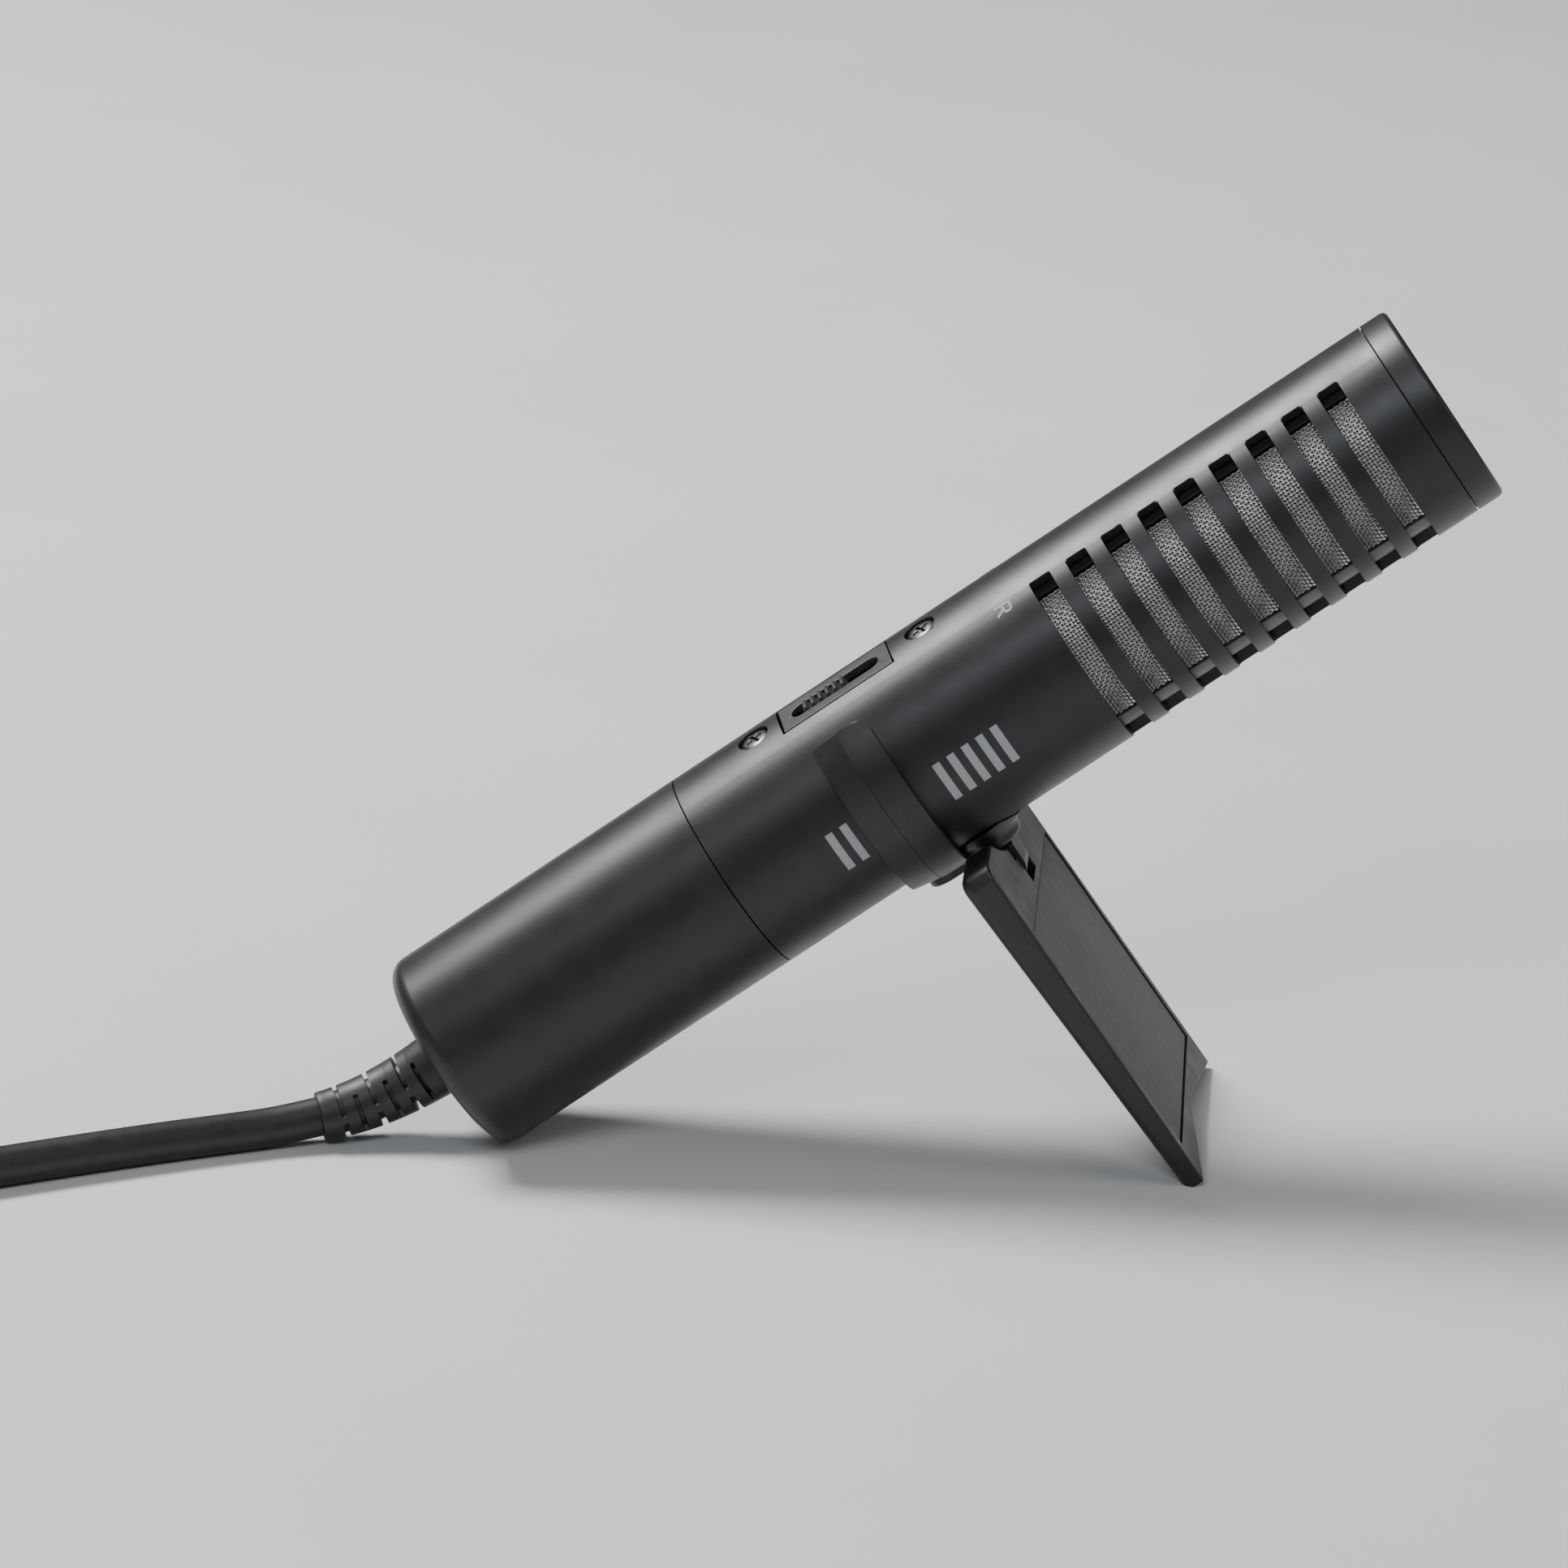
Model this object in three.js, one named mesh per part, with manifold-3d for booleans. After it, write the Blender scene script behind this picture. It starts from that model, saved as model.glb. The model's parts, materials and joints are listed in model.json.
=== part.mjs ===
// A battery-powered stereo microphone that stands on its rear rim and on the leg of a clip.
// Millimetres, +Z up, the microphone's axis in the XZ plane and rising towards +X.
// The origin is at the middle of the bottom of the bounding box, the free cord left out.
import * as THREE from "three";
import { mergeVertices } from "three/addons/utils/BufferGeometryUtils.js";
import Module from "manifold-3d";

const wasm = await Module();
wasm.setup();

// ---------------------------------------------------------------- driving dimensions

const GAP = 0.3; // between neighbouring pieces
const ROUND = 48; // sides of the large round shells
const SMALL_ROUND = 20; // sides of small round pieces

// Tube. X runs along its axis from the rear end; Z points at the switch.
const TUBE_R = 16;
const WALL = 1.6;
const BORE_R = TUBE_R - WALL;
const LINER_R = BORE_R - GAP;
const SLEEVE_END = 51.6;
const BARREL_START = SLEEVE_END + GAP;
const BARREL_END = 172.8;
const CAP_START = BARREL_END + GAP;
const CAP_END = 177.4;
const EDGE_R = 3; // rounding of the rear edge
const REAR_WALL = 2;

// Sound slots, nine on each side, measured as angles from the switch direction.
const SLOT_COUNT = 9;
const SLOT_FIRST = 112.5;
const SLOT_PITCH = 6.24;
const SLOT_WIDTH = 3.6;
const SLOT_FROM = 22.3;
const SLOT_TO = 166.3;
const MESH_FROM = 28.3;
const MESH_TO = 128.3;
const WINDOW_START = 110.5;
const WINDOW_END = 168;

// Switch and the two screws on top of the tube.
const PLATE_X = 80;
const PLATE_LENGTH = 19;
const PLATE_WIDTH = 7.8;
const PLATE_TOP = 15.55;
const PLATE_THICK = 0.8;
const SWITCH_SLOT_LENGTH = 15.2;
const SWITCH_SLOT_WIDTH = 3.4;
const KNOB_X = 78.1;
const KNOB_LENGTH = 7.8;
const KNOB_WIDTH = 2.7;
const KNOB_RIBS = 6;
const SCREW_X = [65.8, 95.2];
const SCREW_HEAD_R = 2.25;
const SCREW_RECESS_R = 2.6;
const SCREW_RECESS_DEPTH = 1.2;
const SCREW_HEAD_DROP = 0.45; // below the tube's surface
const SCREW_HEAD_THICK = 0.75;
const SCREW_SHANK_R = 0.95;
const SCREW_TIP_Z = 8.2;
const CROSS_HALF = 1.4;
const CROSS_HALF_WIDTH = 0.25;
const CROSS_DEPTH = 0.5;
const SWITCH_BODY = { length: 14, width: 6.4, fromZ: 8.3, toZ: 12.3 };

// Battery compartment.
const CELL_R = 5.2;
const CELL_LENGTH = 43.4;
const CELL_Y = 5.5;
const CELL_Z = -2.2;
const CELL_SPRING_ROOM = 2.4;
const CELL_NUB_R = 1.9;
const CELL_NUB_LENGTH = 1;
const TRAY_START = 3.7;
const TRAY_END = 53.4;
const TRAY_WALL = 1.1;
const TRAY_HALF_WIDTH = 8.8;
const TRAY_LOW = -8.9;
const TRAY_HIGH = 6;

// Pose: how the whole stands on the table.
const INCLINE = THREE.MathUtils.degToRad(33.55);
const ROLL = THREE.MathUtils.degToRad(4.8);
const LEG_SWIVEL = THREE.MathUtils.degToRad(7.8);
const LEG_LEAN = THREE.MathUtils.degToRad(1.35);
const CLIP_TURN = -Math.asin(Math.tan(LEG_SWIVEL) * Math.tan(INCLINE)); // levels the two feet
const REAR_X = -68.163;
const REAR_Y = 4.493;
const REAR_Z = (TUBE_R - EDGE_R) * Math.cos(INCLINE) + EDGE_R * (1 - Math.sin(INCLINE));

// Clip, swivel and leg. The clip's own origin is where the swivel axis crosses the tube's axis.
const CLIP_X = 86;
const RING_START = -13.2;
const RING_END = -3.9;
const RING_BORE_R = TUBE_R + GAP;
const RING_R = 18.2;
const RING_OPENING = 48.7; // half the angle of the gap at the top
const BOSS_R = 5;
const BOSS_DROP = 18.8;
const BRIDGE_HALF = 4; // between the ring and the boss
const HINGE_DROP = 22.3;
const HEAD_R = 3;
const KNUCKLE_HALF = 3.5; // of the leg's slot for the swivel head
const POCKET_HALF = 5.3; // of the wider pocket above it, which clears the boss
const POCKET_FLOOR = 1; // above the hinge
const PIN_R = 1.2;
const PIN_HALF = 9;
const LEG_TOP = 7.3; // above the hinge
const LEG_HALF_TOP = 23.4;
const LEG_HALF_FOOT = 24.2;
const LEG_THICK_TOP = 5.2;
const LEG_THICK_FOOT = 3.2;
const LEG_EAR_R = 2.5;
const CRADLE_R = 19.6;
const NOTCH_DEPTH = 4.4;
const PANEL_HALF = 22;
const PANEL_TOP = 4.9; // below the hinge
const PANEL_FOOT = 6; // above the foot
const PANEL_DEPTH = 1.3;
const PANEL_THICK = 0.7;

// Cord.
const CORD_R = 3;
const RELIEF_R = 5;
const RELIEF_END_R = 3.7;
const RELIEF_LENGTH = 21;
const LEAD_SIDES = 10;
// Route of the free cord's middle line from the rear face to where it runs into the hank.
const LEAD_ROUTE = [
  [0, 0, 0],
  [-4, 0, -2.6],
  [-8, -0.2, -4.75],
  [-12, -0.6, -6.4],
  [-16, -1.1, -7.55],
  [-20, -1.7, -8.3],
  [-26, -2.8, -8.95],
  [-33, -4.4, -9.14],
  [-42, -6.8, -9.14],
  [-52, -9.8, -9.14],
  [-62, -13, -9.14],
  [-72, -16.4, -9.1],
  [-82, -19.6, -9.0],
  [-92, -22.4, -8.9],
  [-101.5, -23.8, -8.8],
];
const HANK_X = -147; // from the rear face
const HANK_RUN = 57; // straight part of each run
const HANK_OUTER_R = 24;
const HANK_INNER_R = 18;
const HANK_SKIN = 0.2;
const HANK_HEIGHT = 18.8;
const PLUG_X = 3; // from the middle of the hank
const PLUG_Y = 7;
const PLUG_R = 4;
const PLUG_LENGTH = 17;
const PIN_TIP = 14;

// ---------------------------------------------------------------- colours

const CHARCOAL = { color: 0x1b1c1f, roughness: 0.5, metalness: 0.35 };
const BLACK_PLASTIC = { color: 0x141416, roughness: 0.55, metalness: 0 };
const SWITCH_GREY = { color: 0x3a3a3c, roughness: 0.45, metalness: 0 };
const WOVEN_WIRE = { color: 0xb8bab8, roughness: 0.35, metalness: 0.9 };
const STEEL = { color: 0x55565a, roughness: 0.3, metalness: 0.9 };
const RUBBER = { color: 0x161617, roughness: 0.75, metalness: 0 };
const FOAM = { color: 0x1c1c1c, roughness: 0.95, metalness: 0 };
const PANEL_BROWN = { color: 0x2b2725, roughness: 0.7, metalness: 0 };
const BOARD_GREEN = { color: 0x1d5a35, roughness: 0.5, metalness: 0 };
const CELL_LABEL = { color: 0x2b3f73, roughness: 0.4, metalness: 0.1 };
const GOLD = { color: 0xc9a24b, roughness: 0.25, metalness: 1 };

// ---------------------------------------------------------------- solids

// A closed geometry as a manifold solid, turned to face out.
function solid(geometry) {
  const bare = geometry.clone();
  bare.deleteAttribute("normal");
  bare.deleteAttribute("uv");
  const merged = mergeVertices(bare, 1e-4);
  const triVerts = new Uint32Array(merged.index.array);
  const build = () =>
    new wasm.Manifold(
      new wasm.Mesh({ numProp: 3, vertProperties: merged.attributes.position.array, triVerts }),
    );
  const made = build();
  if (made.volume() > 0) return made;
  triVerts.reverse();
  return build();
}

// A manifold solid as flat-shaded triangles.
function geometryOf(shape) {
  const mesh = shape.getMesh();
  const indexed = new THREE.BufferGeometry()
    .setAttribute("position", new THREE.BufferAttribute(new Float32Array(mesh.vertProperties), 3))
    .setIndex(new THREE.BufferAttribute(new Uint32Array(mesh.triVerts), 1));
  const flat = indexed.toNonIndexed();
  flat.computeVertexNormals();
  return flat;
}

function join(...shapes) {
  return shapes.reduce((whole, next) => whole.add(next));
}

function cut(shape, ...tools) {
  return tools.reduce((rest, tool) => rest.subtract(tool), shape);
}

// A closed profile of [x, radius] points turned about the X axis.
function turned(profile, sides = ROUND) {
  const closed = profile[0][1] === 0 ? profile : [...profile, profile[0]];
  const points = closed.map(([x, r]) => new THREE.Vector2(r, x));
  return solid(new THREE.LatheGeometry(points, sides).rotateZ(-Math.PI / 2));
}

function tube(fromX, toX, outer, inner, sides = ROUND) {
  const profile = [
    [fromX, inner],
    [toX, inner],
    [toX, outer],
    [fromX, outer],
  ];
  return turned(profile, sides);
}

function rod(fromX, toX, radius, sides = SMALL_ROUND) {
  const profile = [
    [fromX, 0],
    [fromX, radius],
    [toX, radius],
    [toX, 0],
  ];
  return turned(profile, sides);
}

function block(from, to) {
  const size = to.map((v, i) => v - from[i]);
  const middle = to.map((v, i) => (v + from[i]) / 2);
  return solid(new THREE.BoxGeometry(...size).translate(...middle));
}

// An upright round bar from one height to another.
function post(x, y, fromZ, toZ, radius, sides = SMALL_ROUND) {
  const bar = new THREE.CylinderGeometry(radius, radius, toZ - fromZ, sides).rotateX(Math.PI / 2);
  return solid(bar.translate(x, y, (fromZ + toZ) / 2));
}

// A round bar across the part, along Y.
function crossBar(x, z, fromY, toY, radius) {
  const bar = new THREE.CylinderGeometry(radius, radius, toY - fromY, SMALL_ROUND);
  return solid(bar.translate(x, (fromY + toY) / 2, z));
}

// A shape drawn in the YZ plane, extruded along X.
function alongX(outline, fromX, toX, curveSegments = 12) {
  const options = { depth: toX - fromX, bevelEnabled: false, curveSegments };
  const raised = new THREE.ExtrudeGeometry(outline, options);
  const turn = new THREE.Matrix4().makeBasis(
    new THREE.Vector3(0, 1, 0),
    new THREE.Vector3(0, 0, 1),
    new THREE.Vector3(1, 0, 0),
  );
  return solid(raised.applyMatrix4(turn).translate(fromX, 0, 0));
}

// A slice of a tube wall between two angles from the switch direction; side -1 is the right.
function wallSector(fromX, toX, inner, outer, fromDegrees, toDegrees, side) {
  const angle = (degrees) => Math.PI / 2 - side * THREE.MathUtils.degToRad(degrees);
  const outline = new THREE.Shape();
  outline.absarc(0, 0, outer, angle(fromDegrees), angle(toDegrees), side > 0);
  outline.absarc(0, 0, inner, angle(toDegrees), angle(fromDegrees), side < 0);
  return alongX(outline, fromX, toX);
}

// An upright obround bar: a slot cutter or a rounded pad.
function obround(x, length, width, fromZ, toZ) {
  const half = (length - width) / 2;
  return join(
    block([x - half, -width / 2, fromZ], [x + half, width / 2, toZ]),
    post(x - half, 0, fromZ, toZ, width / 2),
    post(x + half, 0, fromZ, toZ, width / 2),
  );
}

function addMesh(group, name, look, shape) {
  const mesh = new THREE.Mesh(geometryOf(shape), new THREE.MeshStandardMaterial(look));
  mesh.name = name;
  group.add(mesh);
}

// ---------------------------------------------------------------- tube

function batterySleeve() {
  const corner = [];
  const steps = 6;
  for (let i = 0; i <= steps; i++) {
    const a = (i / steps) * (Math.PI / 2);
    corner.push([EDGE_R * (1 - Math.sin(a)), TUBE_R - EDGE_R * (1 - Math.cos(a))]);
  }
  return turned([
    [0, RELIEF_R + 2 * GAP],
    [REAR_WALL, RELIEF_R + 2 * GAP],
    [REAR_WALL, BORE_R],
    [SLEEVE_END, BORE_R],
    [SLEEVE_END, TUBE_R],
    ...corner,
  ]);
}

function slotCutters() {
  const cutters = [];
  for (let i = 0; i < SLOT_COUNT; i++) {
    const x = SLOT_FIRST + i * SLOT_PITCH;
    for (const side of [-1, 1]) {
      cutters.push(
        wallSector(x, x + SLOT_WIDTH, BORE_R - 1, TUBE_R + 1, SLOT_FROM, SLOT_TO, side),
      );
    }
  }
  return cutters;
}

function barrel() {
  const spigot = 4.2;
  const shell = turned([
    [BARREL_START - spigot, LINER_R - 0.9],
    [BARREL_START, LINER_R - 0.9],
    [BARREL_START + 1, BORE_R],
    [BARREL_END, BORE_R],
    [BARREL_END, TUBE_R],
    [BARREL_START, TUBE_R],
    [BARREL_START, LINER_R],
    [BARREL_START - spigot, LINER_R],
  ]);
  const halfPocket = [PLATE_LENGTH / 2 + GAP, PLATE_WIDTH / 2 + GAP];
  const pocketFloor = PLATE_TOP - PLATE_THICK - GAP;
  const pocket = block(
    [PLATE_X - halfPocket[0], -halfPocket[1], pocketFloor],
    [PLATE_X + halfPocket[0], halfPocket[1], TUBE_R + 1],
  );
  const stemSlot = obround(PLATE_X, SWITCH_SLOT_LENGTH + 1, SWITCH_SLOT_WIDTH, 12, TUBE_R + 1);
  const screwCuts = SCREW_X.flatMap((x) => [
    post(x, 0, TUBE_R - SCREW_RECESS_DEPTH, TUBE_R + 1, SCREW_RECESS_R),
    post(x, 0, 12, TUBE_R, SCREW_SHANK_R + 0.35),
  ]);
  return cut(shell, pocket, stemSlot, ...screwCuts, ...slotCutters());
}

function frontCap() {
  return turned([
    [CAP_START - 2, LINER_R - 1.1],
    [CAP_START + 0.6, LINER_R - 1.1],
    [CAP_END - 1, 13.2],
    [CAP_END, 13.2],
    [CAP_END, TUBE_R - 0.5],
    [CAP_END - 0.5, TUBE_R],
    [CAP_START, TUBE_R],
    [CAP_START, LINER_R],
    [CAP_START - 2, LINER_R],
  ]);
}

function innerFrame() {
  const inner = LINER_R - 1.5;
  const shell = tube(WINDOW_START - 2.5, WINDOW_END + 2.5, LINER_R, inner);
  const windows = [-1, 1].map((side) =>
    wallSector(WINDOW_START, WINDOW_END, inner - 1, LINER_R + 1, MESH_FROM, MESH_TO, side),
  );
  return cut(shell, ...windows);
}

function wireMesh(side) {
  const margin = 1.5; // degrees, keeps the mesh clear of its window
  return wallSector(
    WINDOW_START + GAP,
    WINDOW_END - GAP,
    LINER_R - 0.8,
    LINER_R - 0.2,
    MESH_FROM + margin,
    MESH_TO - margin,
    side,
  );
}

// ---------------------------------------------------------------- inside the tube

const CAPSULE_R = 4;
const CAPSULE_Y = 3.3;
const CAPSULE_SPLAY = 45; // degrees to each side
const CARRIER_X = 128;
const DECK_START = 56;
const DECK_END = 105;
const DECK_WIDTH = 18;
const DECK_LOW = 5;
const DECK_HIGH = 6.4;
const BOARD_LOW = 6.8;
const BOARD_HIGH = 8;
const SCREW_BOSS_R = 2.3;
const CHIP = { fromX: 98.6, toX: 103, half: 3, thick: 1.5 };
const CAPACITOR = { fromX: 58, toX: 62.6, radius: 1.9, y: 4 };

function capsule() {
  return turned(
    [
      [0, 0],
      [0, CAPSULE_R],
      [5.4, CAPSULE_R],
      [5.8, CAPSULE_R - 0.4],
      [5.8, 2.6],
      [5.4, 2.6],
      [5.4, 0],
    ],
    SMALL_ROUND,
  );
}

function capsuleCarrier() {
  const disc = rod(CARRIER_X, CARRIER_X + 3, LINER_R - 3.2, ROUND / 2);
  const wireHole = rod(CARRIER_X - 1, CARRIER_X + 4, 1.6);
  return cut(disc, wireHole);
}

function chassis() {
  const half = DECK_WIDTH / 2;
  const deck = block([DECK_START, -half, DECK_LOW], [DECK_END, half, DECK_HIGH]);
  const bosses = SCREW_X.map((x) => post(x, 0, DECK_HIGH - 0.2, BORE_R - 0.7, SCREW_BOSS_R));
  const holes = SCREW_X.map((x) => post(x, 0, SCREW_TIP_Z - 0.6, BORE_R + 1, SCREW_SHANK_R + 0.25));
  return cut(join(deck, ...bosses), ...holes);
}

function mainBoard() {
  const half = DECK_WIDTH / 2 - 0.5;
  const board = block([DECK_START + 1, -half, BOARD_LOW], [DECK_END - 1, half, BOARD_HIGH]);
  const holes = SCREW_X.map((x) => post(x, 0, DECK_LOW, BOARD_HIGH + 1, SCREW_BOSS_R + 0.4));
  return cut(board, ...holes);
}

function amplifierChip() {
  const low = BOARD_HIGH + GAP;
  return block([CHIP.fromX, -CHIP.half, low], [CHIP.toX, CHIP.half, low + CHIP.thick]);
}

function capacitor() {
  const lift = BOARD_HIGH + GAP + CAPACITOR.radius;
  return rod(CAPACITOR.fromX, CAPACITOR.toX, CAPACITOR.radius).translate([0, CAPACITOR.y, lift]);
}

function coverScrew(x) {
  const top = TUBE_R - SCREW_HEAD_DROP;
  const head = post(x, 0, top - SCREW_HEAD_THICK, top, SCREW_HEAD_R);
  const shank = post(x, 0, SCREW_TIP_Z, top - 0.5, SCREW_SHANK_R, 12);
  const low = top - CROSS_DEPTH;
  const crossCuts = [
    block([x - CROSS_HALF, -CROSS_HALF_WIDTH, low], [x + CROSS_HALF, CROSS_HALF_WIDTH, top + 1]),
    block([x - CROSS_HALF_WIDTH, -CROSS_HALF, low], [x + CROSS_HALF_WIDTH, CROSS_HALF, top + 1]),
  ];
  return cut(join(head, shank), ...crossCuts);
}

function switchPlate() {
  const half = [PLATE_LENGTH / 2, PLATE_WIDTH / 2];
  const plate = block(
    [PLATE_X - half[0], -half[1], PLATE_TOP - PLATE_THICK],
    [PLATE_X + half[0], half[1], PLATE_TOP],
  );
  return cut(plate, obround(PLATE_X, SWITCH_SLOT_LENGTH, SWITCH_SLOT_WIDTH, 14, 17));
}

function switchKnob() {
  const pitch = KNOB_LENGTH / KNOB_RIBS;
  const pad = obround(KNOB_X, KNOB_LENGTH, KNOB_WIDTH, 13.9, PLATE_TOP - 0.1);
  const ribs = [];
  for (let i = 0; i < KNOB_RIBS; i++) {
    const x = KNOB_X - KNOB_LENGTH / 2 + (i + 0.5) * pitch;
    const y = KNOB_WIDTH / 2 - 0.15;
    ribs.push(block([x - 0.35, -y, PLATE_TOP - 0.3], [x + 0.35, y, PLATE_TOP + 0.5]));
  }
  ribs[0] = ribs[0].intersect(obround(KNOB_X, KNOB_LENGTH, KNOB_WIDTH, 15, 17));
  ribs[KNOB_RIBS - 1] = ribs[KNOB_RIBS - 1].intersect(
    obround(KNOB_X, KNOB_LENGTH, KNOB_WIDTH, 15, 17),
  );
  const stem = block([KNOB_X - 1, -0.7, 12.6], [KNOB_X + 1, 0.7, 14.2]);
  return join(pad, stem, ...ribs);
}

function switchBody() {
  const { length, width, fromZ, toZ } = SWITCH_BODY;
  return block(
    [PLATE_X - length / 2, -width / 2, fromZ],
    [PLATE_X + length / 2, width / 2, toZ],
  );
}

function batteryTray() {
  const half = TRAY_HALF_WIDTH;
  const innerRear = TRAY_START + TRAY_WALL;
  const innerFront = TRAY_END - TRAY_WALL;
  const base = block([TRAY_START, -half, TRAY_LOW], [TRAY_END, half, TRAY_LOW + TRAY_WALL]);
  const rear = block([TRAY_START, -half, TRAY_LOW], [innerRear, half, TRAY_HIGH]);
  const front = block([innerFront, -half, TRAY_LOW], [TRAY_END, half, TRAY_HIGH]);
  return join(base, rear, front);
}

function batteryCell(index) {
  const forward = index === 0;
  const startX = TRAY_START + TRAY_WALL + (forward ? CELL_SPRING_ROOM : GAP);
  const profile = [
    [0, 0],
    [0, CELL_R - 0.3],
    [0.3, CELL_R],
    [CELL_LENGTH - 0.3, CELL_R],
    [CELL_LENGTH, CELL_R - 0.3],
    [CELL_LENGTH, CELL_NUB_R],
    [CELL_LENGTH + CELL_NUB_LENGTH, CELL_NUB_R],
    [CELL_LENGTH + CELL_NUB_LENGTH, 0],
  ];
  const cell = turned(profile, SMALL_ROUND + 4);
  const whole = CELL_LENGTH + CELL_NUB_LENGTH;
  const placed = forward ? cell : cell.mirror([1, 0, 0]).translate([whole, 0, 0]);
  return placed.translate([startX, forward ? CELL_Y : -CELL_Y, CELL_Z]);
}

// A contact spring between a cell's flat end and the tray wall.
function contactSpring(index) {
  const forward = index === 0;
  const startX = forward ? TRAY_START + 1.4 : TRAY_START + 1.4 + CELL_LENGTH + 1.3;
  const length = 1.5;
  return tube(startX, startX + length, 3.2, 2.3, SMALL_ROUND).translate([
    0,
    forward ? CELL_Y : -CELL_Y,
    CELL_Z,
  ]);
}

// ---------------------------------------------------------------- clip and leg

function clipRing() {
  const profile = [
    [RING_START, RING_BORE_R],
    [RING_START + 5, RING_BORE_R],
    [RING_END, RING_BORE_R + 0.5],
    [RING_END, RING_R],
    [RING_START + 4.5, RING_R - 0.25],
    [RING_START + 0.3, RING_R - 0.6],
    [RING_START, RING_R - 0.9],
  ];
  const ring = turned(profile, ROUND + 8);
  const opening = new THREE.Shape();
  const half = THREE.MathUtils.degToRad(RING_OPENING);
  opening.moveTo(0, 0);
  opening.lineTo(-40 * Math.sin(half), 40 * Math.cos(half));
  opening.lineTo(40 * Math.sin(half), 40 * Math.cos(half));
  opening.closePath();
  const gap = alongX(opening, RING_START - 1, RING_END + 1);
  const bridge = block([RING_START + 2, -BRIDGE_HALF, -BOSS_DROP], [0, BRIDGE_HALF, -10]);
  const boss = post(0, 0, -BOSS_DROP, -10, BOSS_R, 28);
  const tubeSpace = rod(RING_START - 2, BOSS_R + 2, RING_BORE_R, ROUND + 8);
  const rivetSeat = post(0, 0, -17.5, -10, 2.7);
  const rivetHole = post(0, 0, -BOSS_DROP - 1, -17, 1.4);
  const base = cut(join(bridge, boss), tubeSpace);
  return cut(join(cut(ring, gap), base), rivetSeat, rivetHole);
}

function swivelRivet() {
  return join(post(0, 0, -17.2, -16.5, 2.4), post(0, 0, -20.5, -17, 1.1));
}

function swivelHead() {
  const top = -BOSS_DROP - GAP;
  const drop = HINGE_DROP + HEAD_R;
  const upright = post(0, 0, -HINGE_DROP, top, HEAD_R, 28);
  const round = crossBar(0, -HINGE_DROP, -HEAD_R, HEAD_R, HEAD_R).intersect(
    post(0, 0, -drop, top, HEAD_R, 28),
  );
  const pinHole = crossBar(0, -HINGE_DROP, -HEAD_R - 1, HEAD_R + 1, PIN_R + 0.25);
  const rivetHole = post(0, 0, -20.8, top + 1, 1.35);
  return cut(join(upright, round), pinHole, rivetHole);
}

function hingePin() {
  return crossBar(0, -HINGE_DROP, -PIN_HALF, PIN_HALF, PIN_R);
}

// The leg's own origin is the hinge axis; its length runs down Z and its face looks along X.
function legOutline(length) {
  const cradleZ = HINGE_DROP;
  const meet = Math.sqrt(CRADLE_R ** 2 - (cradleZ - LEG_TOP) ** 2);
  const start = Math.atan2(LEG_TOP - cradleZ, meet);
  const ear = LEG_EAR_R;
  const outline = new THREE.Shape();
  outline.moveTo(-LEG_HALF_FOOT, -length);
  outline.lineTo(0, -length + NOTCH_DEPTH);
  outline.lineTo(LEG_HALF_FOOT, -length);
  outline.lineTo(LEG_HALF_TOP, LEG_TOP - ear);
  outline.absarc(LEG_HALF_TOP - ear, LEG_TOP - ear, ear, 0, Math.PI / 2, false);
  outline.lineTo(meet, LEG_TOP);
  outline.absarc(0, cradleZ, CRADLE_R, start, -Math.PI - start, true);
  outline.lineTo(-LEG_HALF_TOP + ear, LEG_TOP);
  outline.absarc(-LEG_HALF_TOP + ear, LEG_TOP - ear, ear, Math.PI / 2, Math.PI, false);
  outline.closePath();
  return outline;
}

// Half the leg's thickness at a height above the hinge.
function halfThickness(z, length) {
  const share = (LEG_TOP - z) / (LEG_TOP + length);
  return THREE.MathUtils.lerp(LEG_THICK_TOP, LEG_THICK_FOOT, share) / 2;
}

// A slab of the leg's sloping front between two heights and two depths below its surface.
function frontSlab(length, halfWidth, topZ, footZ, fromDepth, toDepth) {
  const side = new THREE.Shape();
  side.moveTo(halfThickness(topZ, length) - fromDepth, topZ);
  side.lineTo(halfThickness(footZ, length) - fromDepth, footZ);
  side.lineTo(halfThickness(footZ, length) - toDepth, footZ);
  side.lineTo(halfThickness(topZ, length) - toDepth, topZ);
  side.closePath();
  const options = { depth: 2 * halfWidth, bevelEnabled: false };
  const raised = new THREE.ExtrudeGeometry(side, options).rotateX(Math.PI / 2);
  return solid(raised.translate(0, halfWidth, 0));
}

function leg(length, floorBlock) {
  const plate = alongX(legOutline(length), -LEG_THICK_TOP, LEG_THICK_TOP, 10);
  const full = 2 * halfThickness(-length, length) + LEG_THICK_TOP;
  const wedge = frontSlab(length, 40, LEG_TOP, -length, 0, full);
  const back = frontSlab(length, 40, LEG_TOP, -length, 0, full).mirror([1, 0, 0]);
  const recess = frontSlab(
    length,
    PANEL_HALF,
    -PANEL_TOP,
    -length + PANEL_FOOT,
    -2,
    PANEL_DEPTH,
  );
  const slot = join(
    block([-5, -KNUCKLE_HALF, -HEAD_R - 0.7], [5, KNUCKLE_HALF, LEG_TOP]),
    block([-5, -POCKET_HALF, POCKET_FLOOR], [5, POCKET_HALF, LEG_TOP]),
  );
  const pinHole = crossBar(0, 0, -PIN_HALF - GAP, PIN_HALF + GAP, PIN_R + 0.25);
  return cut(plate.intersect(wedge).intersect(back), recess, slot, pinHole, floorBlock);
}

function legPanel(length) {
  return frontSlab(
    length,
    PANEL_HALF - GAP,
    -PANEL_TOP - GAP,
    -length + PANEL_FOOT + GAP,
    PANEL_DEPTH - GAP - PANEL_THICK,
    PANEL_DEPTH - GAP,
  );
}

// ---------------------------------------------------------------- cord

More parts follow.
